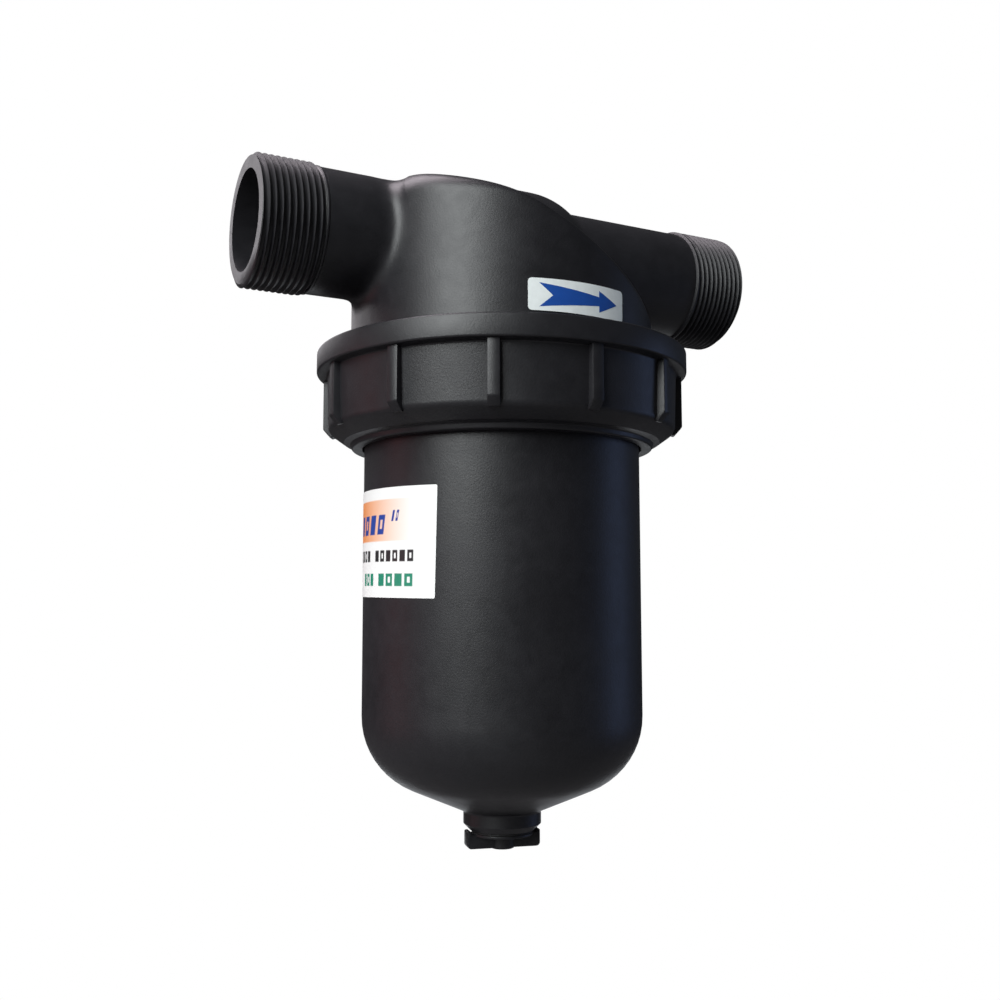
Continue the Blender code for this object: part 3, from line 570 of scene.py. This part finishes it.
def one_ink(name, colour):
    """A film in one ink, a little uneven."""
    made, tree = empty_material(name)
    spot = add(tree, "TexCoord").outputs["Object"]
    uneven = add(tree, "TexNoise", {"Vector": spot, "Scale": 420.0, "Detail": 3.0}).outputs["Fac"]
    depth = calc(tree, "MULTIPLY_ADD", uneven, INK_UNEVEN, INK_BASE)
    vinyl(tree, add(tree, "VectorMath", {0: colour, 1: depth}, operation="MULTIPLY").outputs[0])
    return made


sticker_r = WALL_R + STICKER_LIFT
arrow_r = sticker_r + STICKER_FILM + PRINT_LIFT
half = math.radians((STICKER_AZ[1] - STICKER_AZ[0]) / 2) * sticker_r
middle = math.radians(sum(STICKER_AZ) / 2)
sticker_outline = rounded_box((-half, STICKER_Z[0]), (half, STICKER_Z[1]), STICKER_ROUND)
arrow_outline = [
    (ARROW_TAIL_X, ARROW_Z - ARROW_TAIL_HALF), (ARROW_NOTCH_X, ARROW_Z),
    (ARROW_TAIL_X, ARROW_Z + ARROW_TAIL_HALF), (ARROW_BARB_X, ARROW_Z + ARROW_NECK_HALF),
    (ARROW_BARB_X, ARROW_Z + ARROW_BARB_HALF), (ARROW_TIP_X, ARROW_Z),
    (ARROW_BARB_X, ARROW_Z - ARROW_BARB_HALF), (ARROW_BARB_X, ARROW_Z - ARROW_NECK_HALF)]
sticker = shape("flow_sticker", wrapped(sticker_outline, sticker_r, STICKER_FILM, middle))
finish_piece(sticker, "head", [], one_ink("sticker_film", STICKER_WHITE))
arrow = shape("flow_arrow", wrapped(arrow_outline, arrow_r, PRINT_FILM, middle))
finish_piece(arrow, "head", [], one_ink("arrow_ink", ARROW_BLUE))


# The collar nut. A turned ring with a rolled rim, a panelled wall with twelve ribs, and a lip
# that lifts the bowl's flange; the coarse thread is cut inside it.
COLLAR_TOP, RIM_FOOT, CONE_TOP, CONE_FOOT, COLLAR_FOOT = -0.0395, -0.0477, -0.0694, -0.0736, -0.0763
RIM_R, PANEL_R, RIDGE_R, COLLAR_FOOT_R, LIP_R = 0.0717, 0.0670, 0.0611, 0.0581, 0.0538
RIM_ROUND, PANEL_ROUND, CONE_ROUND, RIDGE_ROUND = 0.0009, 0.0008, 0.0030, 0.0006
RIM_COVE, RIDGE_STEP, RIDGE_LEAN = 0.0006, 0.0008, 0.0004
COLLAR_BORE_R, COLLAR_MINOR_R, COLLAR_MOUTH_R = 0.0632, 0.0601, 0.0618
LIP_TOP, THREAD_FOOT, MOUTH_STRAIGHT, MOUTH_DEPTH = -0.0683, -0.0606, 0.0015, 0.0035
COLLAR_FLATS, COLLAR_STEPS = (0.1, 0.32), 192
RIBS, RIB_R, RIB_WIDTH, RIB_BEVEL, RIB_SINK, RIB_RISE = 12, 0.0700, 0.0044, 0.0004, 0.0020, 0.0040
RIB_KNEE, RIB_KNEE_ROUND, RIB_TOE_IN, RIB_TOE, RIB_HEEL = 0.0022, 0.0014, 0.0030, 0.0012, 0.0006
BEVEL_SEGMENTS = 2

collar = shape("collar_ring", turned(soften([
    (COLLAR_MOUTH_R, COLLAR_TOP, SOFT), (RIM_R, COLLAR_TOP, RIM_ROUND),
    (RIM_R, RIM_FOOT, PANEL_ROUND), (PANEL_R + RIM_COVE, RIM_FOOT - RIM_COVE, PANEL_ROUND),
    (PANEL_R, CONE_TOP, CONE_ROUND), (RIDGE_R, CONE_FOOT, RIDGE_ROUND),
    (COLLAR_FOOT_R + RIDGE_LEAN, CONE_FOOT - RIDGE_STEP, SOFT),
    (COLLAR_FOOT_R, COLLAR_FOOT, PANEL_ROUND), (LIP_R, COLLAR_FOOT, SOFT),
    (LIP_R, LIP_TOP, EDGE), (COLLAR_BORE_R, LIP_TOP, EDGE), (COLLAR_BORE_R, THREAD_FOOT, EDGE),
    (COLLAR_MINOR_R, THREAD_FOOT, EDGE), (COLLAR_MINOR_R, COLLAR_TOP - MOUTH_DEPTH, EDGE),
    (COLLAR_MOUTH_R, COLLAR_TOP - MOUTH_STRAIGHT, EDGE),
]), COLLAR_STEPS))
rib_side = soften([
    (PANEL_R - RIB_SINK, RIM_FOOT + RIB_RISE, 0), (RIB_R, RIM_FOOT + RIB_RISE, 0),
    (RIB_R, CONE_TOP + RIB_KNEE, RIB_KNEE_ROUND),
    (RIB_R - RIB_TOE_IN, CONE_TOP - RIB_TOE, PANEL_ROUND),
    (PANEL_R - RIB_SINK, CONE_TOP - RIB_HEEL, 0)])


def upright(side, width, bevel, angle):
    """A rib or arm with a (radius, height) side view, standing out from the Z axis."""
    bm = bmesh.new()
    bm.faces.new([bm.verts.new((r, -width / 2, z)) for r, z in side])
    pushed = bmesh.ops.extrude_face_region(bm, geom=bm.faces[:])["geom"]
    moved = [item for item in pushed if isinstance(item, bmesh.types.BMVert)]
    bmesh.ops.translate(bm, verts=moved, vec=(0, width, 0))
    bmesh.ops.recalc_face_normals(bm, faces=bm.faces)
    edges = [e for e in bm.edges if abs(e.verts[0].co.y - e.verts[1].co.y) < MERGE]
    bmesh.ops.bevel(bm, geom=edges, affect="EDGES", offset=bevel, segments=BEVEL_SEGMENTS,
                    profile=0.5, material=-1, clamp_overlap=True)
    bmesh.ops.rotate(bm, verts=bm.verts, matrix=Matrix.Rotation(angle, 3, "Z"))
    return bm


ribs = [upright(rib_side, RIB_WIDTH, RIB_BEVEL, 2 * math.pi * i / RIBS) for i in range(RIBS)]
combine(collar, "UNION", shape("ribs", *ribs))
combine(collar, "DIFFERENCE", shape("collar_thread", threaded(
    HEAD_FOOT - NECK_PITCH, COLLAR_TOP + CUT_PAST, NECK_ROOT_R, COLLAR_BORE_R, NECK_PITCH,
    COLLAR_FLATS, 2 * PIPE_STEPS, lambda z: COLLAR_BORE_R)))
finish_piece(collar, "collar", ["collar_nut"], black_plastic)


# The bowl. Turned in one piece: grooved flange, long wall, domed bottom and drain boss, with the
# drain's thread cut in the boss.
BOWL_R, BOWL_WALL, FLANGE_R, BOWL_TOP, FLANGE_FOOT = 0.0532, 0.0042, 0.0626, -0.0618, -0.0680
GROOVE_INNER, GROOVE_OUTER, GROOVE_FOOT = 0.0572, 0.0598, -0.0641
DOME_ROUND, CONE_ANGLE, DOME_CORNER_Z = 0.029, math.radians(23.0), -0.1962
BOSS_R, BOSS_FOOT, BOSS_CHAMFER, BOSS_COVE, BOSS_THREAD = 0.0147, -0.2196, 0.0024, 0.0010, 0.0105
DRAIN_R, DRAIN_PITCH, DRAIN_MINOR_R, DRAIN_CREST_R, DRAIN_ROOT_R = 0.0093, 0.002, 0.0083, 0.0088, 0.0078
DRAIN_MOUTH, DRAIN_TAPER, DRAIN_CLEAR = 0.0010, 0.0018, 0.0001
FEMALE_FLATS, SMALL_THREAD_STEPS = (0.1, 0.34), 64
DOME_STEPS, BOWL_STEPS = 10, 224
inner_rise = BOWL_WALL / math.cos(CONE_ANGLE)
inner_r = BOWL_R - BOWL_WALL


def cone_z(r):
    """Height of the bowl's outer cone at a radius."""
    return DOME_CORNER_Z - (BOWL_R - r) * math.tan(CONE_ANGLE)


bowl = shape("bowl_shell", turned(soften([
    (GROOVE_OUTER, BOWL_TOP, FINE), (FLANGE_R, BOWL_TOP, BLUNT), (FLANGE_R, FLANGE_FOOT, BLUNT),
    (BOWL_R, FLANGE_FOOT, SOFT), (BOWL_R, DOME_CORNER_Z, DOME_ROUND),
    (BOSS_R, cone_z(BOSS_R), BOSS_COVE), (BOSS_R, BOSS_FOOT + BOSS_CHAMFER, SOFT),
    (BOSS_R - BOSS_CHAMFER, BOSS_FOOT, EDGE), (DRAIN_R, BOSS_FOOT, EDGE),
    (DRAIN_R, BOSS_FOOT + DRAIN_MOUTH, 0), (DRAIN_MINOR_R, BOSS_FOOT + DRAIN_TAPER, 0),
    (DRAIN_MINOR_R, cone_z(DRAIN_MINOR_R) + inner_rise, SOFT),
    (inner_r, cone_z(inner_r) + inner_rise, DOME_ROUND - BOWL_WALL), (inner_r, BOWL_TOP, SOFT),
    (GROOVE_INNER, BOWL_TOP, FINE), (GROOVE_INNER, GROOVE_FOOT, FINE),
    (GROOVE_OUTER, GROOVE_FOOT, FINE),
], DOME_STEPS), BOWL_STEPS))
combine(bowl, "DIFFERENCE", shape("boss_thread", threaded(
    BOSS_FOOT - DRAIN_PITCH, BOSS_FOOT + BOSS_THREAD, DRAIN_ROOT_R, DRAIN_R - DRAIN_CLEAR,
    DRAIN_PITCH, FEMALE_FLATS, SMALL_THREAD_STEPS, lambda z: DRAIN_R)))
finish_piece(bowl, "bowl", ["bowl"], black_plastic)


# The bowl's label. A printed vinyl film round the inlet side, stuck on a little askew: an orange
# band that pales to the right, and blocks where the print stood. No words are copied. A row of
# print gives its foot, head, start, pitch, fill, count and slant, in shares of the label.
LABEL_AZ, LABEL_Z, LABEL_FILM = (-126.0, -52.9), (-0.1329, -0.0936), 0.0001
LABEL_ROUND, LABEL_TILT, LABEL_CELLS = 0.0006, math.radians(1.2), 96
LABEL_WHITE, LABEL_ORANGE = (0.90, 0.90, 0.89, 1), (0.86, 0.30, 0.09, 1)
LABEL_PEACH, INK_BLUE = (0.88, 0.56, 0.38, 1), (0.016, 0.055, 0.31, 1)
INK_BLACK, INK_GREEN = (0.02, 0.02, 0.022, 1), (0.02, 0.24, 0.15, 1)
BAND_FOOT, BAND_HEAD, BAND_SOFT = 0.512, 0.893, 0.006
PALE_START, PALE_END, PALE_POWER = 0.28, 0.86, 2.2
MARK_ROWS = ((0.575, 0.755, 0.255, 0.098, 0.72, 4, 0.10), (0.690, 0.790, 0.690, 0.034, 0.55, 2, 0.14))
KIND_ROWS = ((0.325, 0.429, 0.190, 0.0572, 0.76, 5, 0.0), (0.325, 0.429, 0.533, 0.0572, 0.76, 6, 0.0))
GRADE_ROWS = ((0.104, 0.218, 0.355, 0.0572, 0.76, 3, 0.0), (0.104, 0.218, 0.573, 0.0757, 0.80, 4, 0.0))
ROW_SOFT, END_SOFT, BLOCK_SOFT, BLOCK_START = 0.004, 0.01, 0.03, 0.04
HOLE_LEFT, HOLE_RIGHT, HOLE_FOOT, HOLE_HEAD = 0.38, 0.70, 0.28, 0.26
MIX_FACTOR, MIX_UNDER, MIX_OVER, MIX_COLOUR = 0, 6, 7, 2


def between(tree, value, low, high, soft):
    """A mask that is 1 between two values, with soft edges."""
    rise = add(tree, "MapRange", {"Value": value, "From Min": low - soft, "From Max": low + soft})
    fall = add(tree, "MapRange", {"Value": value, "From Min": high + soft, "From Max": high - soft})
    return calc(tree, "MULTIPLY", rise.outputs["Result"], fall.outputs["Result"])


def printed(tree, under, ink, mask):
    """Ink over a colour where a mask allows."""
    sockets = {MIX_FACTOR: mask, MIX_UNDER: under, MIX_OVER: ink}
    return add(tree, "Mix", sockets, data_type="RGBA").outputs[MIX_COLOUR]


def blocks(tree, across, up, low, high, start, pitch, fill, count, slant):
    """The mask of a row of print blocks, every second one hollow. fill is a block's share of the
    pitch, and the hole's numbers are shares of the block."""
    tall = high - low
    foot = calc(tree, "MULTIPLY_ADD", up, slant, start - slant * low)
    cell = calc(tree, "DIVIDE", calc(tree, "SUBTRACT", across, foot), pitch)
    inside = calc(tree, "FRACT", cell)
    row = calc(tree, "MULTIPLY", between(tree, up, low, high, ROW_SOFT),
               between(tree, cell, END_SOFT, count, END_SOFT))
    hole = calc(tree, "MULTIPLY",
                between(tree, inside, fill * HOLE_LEFT, fill * HOLE_RIGHT, BLOCK_SOFT),
                between(tree, up, low + tall * HOLE_FOOT, high - tall * HOLE_HEAD, ROW_SOFT))
    pair = calc(tree, "FRACT", calc(tree, "MULTIPLY", cell, 0.5))
    hollow_one = calc(tree, "GREATER_THAN", pair, 0.5)
    block = calc(tree, "SUBTRACT", between(tree, inside, BLOCK_START, fill, BLOCK_SOFT),
                 calc(tree, "MULTIPLY", hole, hollow_one))
    return calc(tree, "MULTIPLY", row, calc(tree, "MAXIMUM", block, 0.0))


def label_material():
    """White film with the orange band and the rows of print blocks in three inks."""
    made, tree = empty_material("label_film")
    across, up, _ = add(tree, "SeparateXYZ", {0: add(tree, "TexCoord").outputs["UV"]}).outputs
    pale = add(tree, "MapRange", {"Value": across, "From Min": PALE_START,
                                  "From Max": PALE_END}).outputs["Result"]
    band = printed(tree, LABEL_ORANGE, LABEL_PEACH, pale)
    band = printed(tree, band, LABEL_WHITE, calc(tree, "POWER", pale, PALE_POWER))
    paper = printed(tree, LABEL_WHITE, band, between(tree, up, BAND_FOOT, BAND_HEAD, BAND_SOFT))
    for ink, rows in ((INK_BLUE, MARK_ROWS), (INK_BLACK, KIND_ROWS), (INK_GREEN, GRADE_ROWS)):
        for row in rows:
            paper = printed(tree, paper, ink, blocks(tree, across, up, *row))
    vinyl(tree, paper)
    return made


label_r = BOWL_R + STICKER_LIFT
half = math.radians((LABEL_AZ[1] - LABEL_AZ[0]) / 2) * label_r
label_outline = rounded_box((-half, LABEL_Z[0]), (half, LABEL_Z[1]), LABEL_ROUND)
label = shape("bowl_label", wrapped(label_outline, label_r, LABEL_FILM,
                                    math.radians(sum(LABEL_AZ) / 2), LABEL_CELLS, LABEL_TILT))
finish_piece(label, "bowl", [], label_material())


# The drain: a rubber washer, and a cap with a bar to grip across its hub, its threaded plug up
# inside the boss.
WASHER_TOP, WASHER_FOOT, WASHER_R, WASHER_EDGE_STEPS = -0.2197, -0.2204, 0.0116, 3
CAP_TOP, CAP_FOOT, CAP_CROWN, PLUG_TOP, PLUG_SINK = -0.2205, -0.2266, 0.0004, -0.2127, 0.0010
CAP_FLANGE_R, CAP_FLANGE_FOOT, CAP_HUB_R = 0.0116, -0.2215, 0.0047
HUB_COVE, HUB_ROUND, PLUG_CHAMFER = 0.0006, 0.0007, 0.0004
BOSS_CLEAR, CAP_ARM_RISE, CAP_ARM_SINK, CAP_ARM_START, CAP_ARM_LIFT = 0.0126, 0.0007, 0.0003, 0.001, 0.0005
CAP_ARMS, CAP_ARM_R, CAP_ARM_WIDTH, CAP_ARM_TURN = 2, 0.0140, 0.0062, math.radians(-13.0)
CAP_ARM_BEVEL, CAP_ARM_TOP_ROUND, CAP_ARM_FOOT_ROUND = 0.0008, 0.0006, 0.0014
SMALL_STEPS = 96

rubber = moulded("black_rubber", (0.012, 0.012, 0.012), roughness=0.62, grain=0.4,
                 grain_scale=900.0)
washer = shape("drain_gasket", turned(soften([
    (DRAIN_R, WASHER_TOP, FINE), (WASHER_R, WASHER_TOP, EDGE), (WASHER_R, WASHER_FOOT, EDGE),
    (DRAIN_R, WASHER_FOOT, FINE)], WASHER_EDGE_STEPS), SMALL_STEPS))
finish_piece(washer, "washer", ["drain_washer"], rubber)

cap = shape("drain_plug", turned(soften([
    (0, CAP_TOP + CAP_CROWN, 0), (CAP_FLANGE_R, CAP_TOP, FINE),
    (CAP_FLANGE_R, CAP_FLANGE_FOOT, FINE), (CAP_HUB_R, CAP_FLANGE_FOOT, HUB_COVE),
    (CAP_HUB_R, CAP_FOOT, HUB_ROUND), (0, CAP_FOOT, 0)]), SMALL_STEPS, closed=False))
arm_side = soften([
    (CAP_ARM_START, CAP_TOP - CAP_ARM_SINK, 0), (BOSS_CLEAR, CAP_TOP - CAP_ARM_SINK, 0),
    (BOSS_CLEAR, CAP_TOP + CAP_ARM_RISE, FINE),
    (CAP_ARM_R, CAP_TOP + CAP_ARM_RISE, CAP_ARM_TOP_ROUND),
    (CAP_ARM_R, CAP_FOOT + CAP_ARM_LIFT, CAP_ARM_FOOT_ROUND),
    (CAP_ARM_START, CAP_FOOT + CAP_ARM_LIFT, 0)])
arms = [upright(arm_side, CAP_ARM_WIDTH, CAP_ARM_BEVEL, CAP_ARM_TURN + 2 * math.pi * i / CAP_ARMS)
        for i in range(CAP_ARMS)]
combine(cap, "UNION", *(shape(f"arm_{i}", arm) for i, arm in enumerate(arms)))
combine(cap, "UNION", shape("plug", threaded(
    CAP_TOP - PLUG_SINK, PLUG_TOP, DRAIN_ROOT_R, DRAIN_CREST_R, DRAIN_PITCH, MALE_FLATS,
    SMALL_THREAD_STEPS, lambda z: DRAIN_ROOT_R - PLUG_CHAMFER + PLUG_TOP - z)))
finish_piece(cap, "cap", ["drain_cap"], black_plastic)


# The seals: one in the bowl's top groove and one round the cartridge's spigot. Both are rubber
# rings of round section, drawn unpressed.
SEAL_MAJOR_R, SEAL_SECTION_R, SEAL_Z = 0.0585, 0.0010, -0.0628
SPIGOT_SEAL_R, SPIGOT_SECTION_R, SPIGOT_SEAL_Z = 0.0187, 0.0011, -0.04755
SECTION_STEPS, SEAL_STEPS = 20, 160


def seal(name, major_r, section_r, z, body, node):
    """A rubber ring of round section."""
    section = arc(major_r, z, section_r, 180, -180, SECTION_STEPS)[:-1]
    finish_piece(shape(name, turned(section, SEAL_STEPS)), body, [node], rubber)


seal("bowl_ring", SEAL_MAJOR_R, SEAL_SECTION_R, SEAL_Z, "bowl", "bowl_seal")
seal("spigot_ring", SPIGOT_SEAL_R, SPIGOT_SECTION_R, SPIGOT_SEAL_Z, "cartridge", "cartridge_seal")


# The cartridge: a spigot with its plate, and a slotted core tube with a threaded stud, in grey
# polypropylene. The slots are cut through the tube's wall with rounded corners.
PLATE_TOP, PLATE_FOOT, PLATE_R, RECESS_Z = -0.0568, -0.0613, 0.0402, -0.0593
PLATE_COVE, PLATE_ROUND, CORE_CLEAR = 0.0010, 0.0007, 0.0003
SPIGOT_R, SPIGOT_BORE_R, SPIGOT_TOP, SPIGOT_ROUND = 0.0196, 0.0158, -0.0383, 0.0007
SPIGOT_GROOVE_R, SPIGOT_GROOVE_HALF = 0.0173, 0.0014
CORE_R, CORE_BORE_R, CORE_TOP, CORE_FOOT, CORE_FLOOR = 0.0231, 0.0199, -0.0596, -0.1663, -0.1623
CORE_FLOOR_ROUND, CORE_FOOT_ROUND, STUD_COVE = 0.0015, 0.0010, 0.0008
STUD_R, STUD_ROOT_R, STUD_FOOT, STUD_CHAMFER = 0.0060, 0.0050, -0.1941, 0.0004
SHANK_LENGTH, SHANK_OVERLAP = 0.0030, 0.0020
SLOT_TIERS, SLOT_PAIRS, SLOT_WIDTH, SLOT_BRIDGE, SLOT_DEPTH = 2, 3, 0.0125, 0.0060, 0.012
SLOT_ROUND, SLOT_ROUND_STEPS, SAME_LENGTH = 0.002, 4, 1e-5
CORE_STEPS = 144
shank_r = STUD_R - STUD_CHAMFER
groove_top, groove_foot = SPIGOT_SEAL_Z + SPIGOT_GROOVE_HALF, SPIGOT_SEAL_Z - SPIGOT_GROOVE_HALF

grey_plastic = moulded("grey_polypropylene", (0.060, 0.060, 0.065), roughness=0.45, grain=0.5,
                       grain_scale=1300.0)
spigot = shape("spigot_plate", turned(soften([
    (SPIGOT_BORE_R, RECESS_Z, EDGE), (SPIGOT_BORE_R, SPIGOT_TOP, SOFT),
    (SPIGOT_R, SPIGOT_TOP, SPIGOT_ROUND), (SPIGOT_R, groove_top, FINE),
    (SPIGOT_GROOVE_R, groove_top, FINE), (SPIGOT_GROOVE_R, groove_foot, FINE),
    (SPIGOT_R, groove_foot, FINE), (SPIGOT_R, PLATE_TOP, PLATE_COVE),
    (PLATE_R, PLATE_TOP, PLATE_ROUND), (PLATE_R, PLATE_FOOT, BLUNT),
    (CORE_R + CORE_CLEAR, PLATE_FOOT, EDGE), (CORE_R + CORE_CLEAR, RECESS_Z, EDGE),
]), CORE_STEPS))
finish_piece(spigot, "cartridge", ["cartridge_top"], grey_plastic)

core = shape("core_tube", turned(soften([
    (0, CORE_FLOOR, 0), (CORE_BORE_R, CORE_FLOOR, CORE_FLOOR_ROUND), (CORE_BORE_R, CORE_TOP, SOFT),
    (CORE_R, CORE_TOP, SOFT), (CORE_R, CORE_FOOT, CORE_FOOT_ROUND), (shank_r, CORE_FOOT, STUD_COVE),
    (shank_r, CORE_FOOT - SHANK_LENGTH, 0), (0, CORE_FOOT - SHANK_LENGTH, 0),
]), CORE_STEPS, closed=False))
combine(core, "UNION", shape("stud", threaded(
    STUD_FOOT, CORE_FOOT - SHANK_OVERLAP, STUD_ROOT_R, STUD_R, DRAIN_PITCH, MALE_FLATS,
    SMALL_THREAD_STEPS, lambda z: min(STUD_ROOT_R - STUD_CHAMFER + z - STUD_FOOT, STUD_R))))


def slot_cutter(top, tall, angle):
    """A block through the core's wall, its corners rounded as the slot shows them."""
    bm = bmesh.new()
    bmesh.ops.create_cube(bm, size=1, matrix=Matrix.Rotation(angle, 4, "Z")
                          @ Matrix.Translation((CORE_R, 0, top - tall / 2))
                          @ Matrix.Diagonal((SLOT_DEPTH, SLOT_WIDTH, tall, 1)))
    through = []
    for edge in bm.edges:
        run = edge.verts[0].co - edge.verts[1].co
        if abs(run.z) < SAME_LENGTH and abs(run.length - SLOT_DEPTH) < SAME_LENGTH:
            through.append(edge)
    bmesh.ops.bevel(bm, geom=through, affect="EDGES", offset=SLOT_ROUND, segments=SLOT_ROUND_STEPS,
                    profile=0.5, material=-1, clamp_overlap=True)
    return bm


slots_top, slots_foot = PLATE_FOOT - SLOT_BRIDGE, CORE_FLOOR + SLOT_BRIDGE
tier = (slots_top - slots_foot + SLOT_BRIDGE) / SLOT_TIERS
slots = [slot_cutter(slots_top - tier * i, tier - SLOT_BRIDGE, math.pi * j / SLOT_PAIRS)
         for i in range(SLOT_TIERS) for j in range(SLOT_PAIRS * 2)]
combine(core, "DIFFERENCE", shape("slots", *slots))
finish_piece(core, "cartridge", ["cartridge_core"], grey_plastic)


# The discs: six packs of twenty thin red discs, each disc with its own rounded edge, and grooves
# on its faces that run out in a swirl.
DISC_R, DISC_BORE_R, DISCS_TOP, DISCS_FOOT, PACKS, PACK_DISCS = 0.0395, 0.0237, -0.0616, -0.1703, 6, 20
PACK_GAP, DISC_EDGE, RIM_START, RIM_END = 0.00003, 0.00022, 0.3, 0.7
GROOVES_OUT, GROOVES_ROUND, DISC_STEPS, DISC_SHARP = 1100.0, 160.0, 112, 20


def disc_material():
    """Red plastic over the shared skin, with swirling grooves in the normal."""
    made, tree = empty_material("grooved_red_plastic")
    skin = skinned(tree, (0.40, 0.026, 0.018), roughness=0.45, grain=0.5, grain_scale=1600.0)
    x, y, z = add(tree, "SeparateXYZ", {0: add(tree, "TexCoord").outputs["Object"]}).outputs
    reach = calc(tree, "SQRT", calc(tree, "ADD", calc(tree, "MULTIPLY", x, x),
                                    calc(tree, "MULTIPLY", y, y)))
    turn = calc(tree, "MULTIPLY", calc(tree, "ARCTAN2", y, x), GROOVES_ROUND)
    groove = calc(tree, "SINE", calc(tree, "MULTIPLY_ADD", reach, GROOVES_OUT, turn))
    relief = add(tree, "Bump", {"Height": groove, "Strength": 0.6, "Distance": 0.00012,
                                "Normal": skin["Normal"]})
    surface = add(tree, "BsdfPrincipled", {"Base Color": skin["Color"],
                                           "Roughness": skin["Roughness"],
                                           "Normal": relief.outputs[0]})
    add(tree, "OutputMaterial", {"Surface": surface.outputs[0]})
    return made


disc_red = disc_material()
pack_pitch = (DISCS_TOP - DISCS_FOOT) / PACKS
thickness = (pack_pitch - PACK_GAP) / PACK_DISCS
for i in range(PACKS):
    top = DISCS_TOP - i * pack_pitch
    outside, inside = [], []
    for j in range(PACK_DISCS):
        z = top - j * thickness
        outside += [(DISC_R - DISC_EDGE, z), (DISC_R, z - thickness * RIM_START),
                    (DISC_R, z - thickness * RIM_END)]
        inside += [(DISC_BORE_R + DISC_EDGE, z), (DISC_BORE_R, z - thickness / 2)]
    foot = top - PACK_DISCS * thickness
    outline = outside + [(DISC_R - DISC_EDGE, foot), (DISC_BORE_R + DISC_EDGE, foot)] + inside[::-1]
    name = f"disc_pack_{i + 1:02d}"
    pack = shape(f"discs_{i + 1}", turned(outline, DISC_STEPS))
    finish_piece(pack, "stack", [name], disc_red, DISC_SHARP)


# The pressure plate under the discs, and the wing nut on the stud's thread. Both are the
# cartridge's grey plastic; the nut's thread is cut to fit the stud's.
PRESS_TOP, PRESS_FOOT, PRESS_BORE_R, PRESS_EDGE = -0.1703, -0.1753, 0.0065, 0.0025
PRESS_EDGE_ROUND, PRESS_COVE = 0.0008, 0.0020
NUT_TOP, NUT_FOOT, NUT_HUB_R, NUT_MINOR_R, NUT_ROUND = -0.1756, -0.1846, 0.0107, 0.0054, 0.0010
NUT_WINGS, NUT_WING_R, NUT_WING_WIDTH, WING_BEVEL = 4, 0.0165, 0.0048, 0.0010
WING_SINK, WING_DROP, WING_LIFT = 0.0021, 0.0018, 0.0010
WING_TOP_ROUND, WING_FOOT_ROUND = 0.0012, 0.0016

plate = shape("press_plate", turned(soften([
    (PRESS_BORE_R, PRESS_TOP, EDGE), (PLATE_R, PRESS_TOP, BLUNT),
    (PLATE_R, PRESS_TOP - PRESS_EDGE, PRESS_EDGE_ROUND), (DISC_BORE_R, PRESS_FOOT, PRESS_COVE),
    (PRESS_BORE_R, PRESS_FOOT, EDGE)]), CORE_STEPS))
finish_piece(plate, "stack", ["pressure_plate"], grey_plastic)
nut = shape("wing_nut_body", turned(soften([
    (NUT_MINOR_R, NUT_TOP, BLUNT), (NUT_HUB_R, NUT_TOP, BLUNT), (NUT_HUB_R, NUT_FOOT, NUT_ROUND),
    (NUT_MINOR_R, NUT_FOOT, BLUNT)]), SMALL_STEPS))
wing_side = soften([
    (NUT_HUB_R - WING_SINK, NUT_TOP - WING_DROP, 0),
    (NUT_WING_R, NUT_TOP - WING_DROP, WING_TOP_ROUND),
    (NUT_WING_R, NUT_FOOT + WING_LIFT, WING_FOOT_ROUND),
    (NUT_HUB_R - WING_SINK, NUT_FOOT + WING_LIFT, 0)])
wings = [upright(wing_side, NUT_WING_WIDTH, WING_BEVEL, 2 * math.pi * i / NUT_WINGS)
         for i in range(NUT_WINGS)]
combine(nut, "UNION", shape("wings", *wings))
combine(nut, "DIFFERENCE", shape("nut_thread", threaded(
    NUT_FOOT - DRAIN_PITCH, NUT_TOP + DRAIN_PITCH, STUD_ROOT_R, PRESS_BORE_R, DRAIN_PITCH,
    FEMALE_FLATS, SMALL_THREAD_STEPS, lambda z: PRESS_BORE_R)))
finish_piece(nut, "nut", ["wing_nut"], grey_plastic)

bpy.context.view_layer.update()
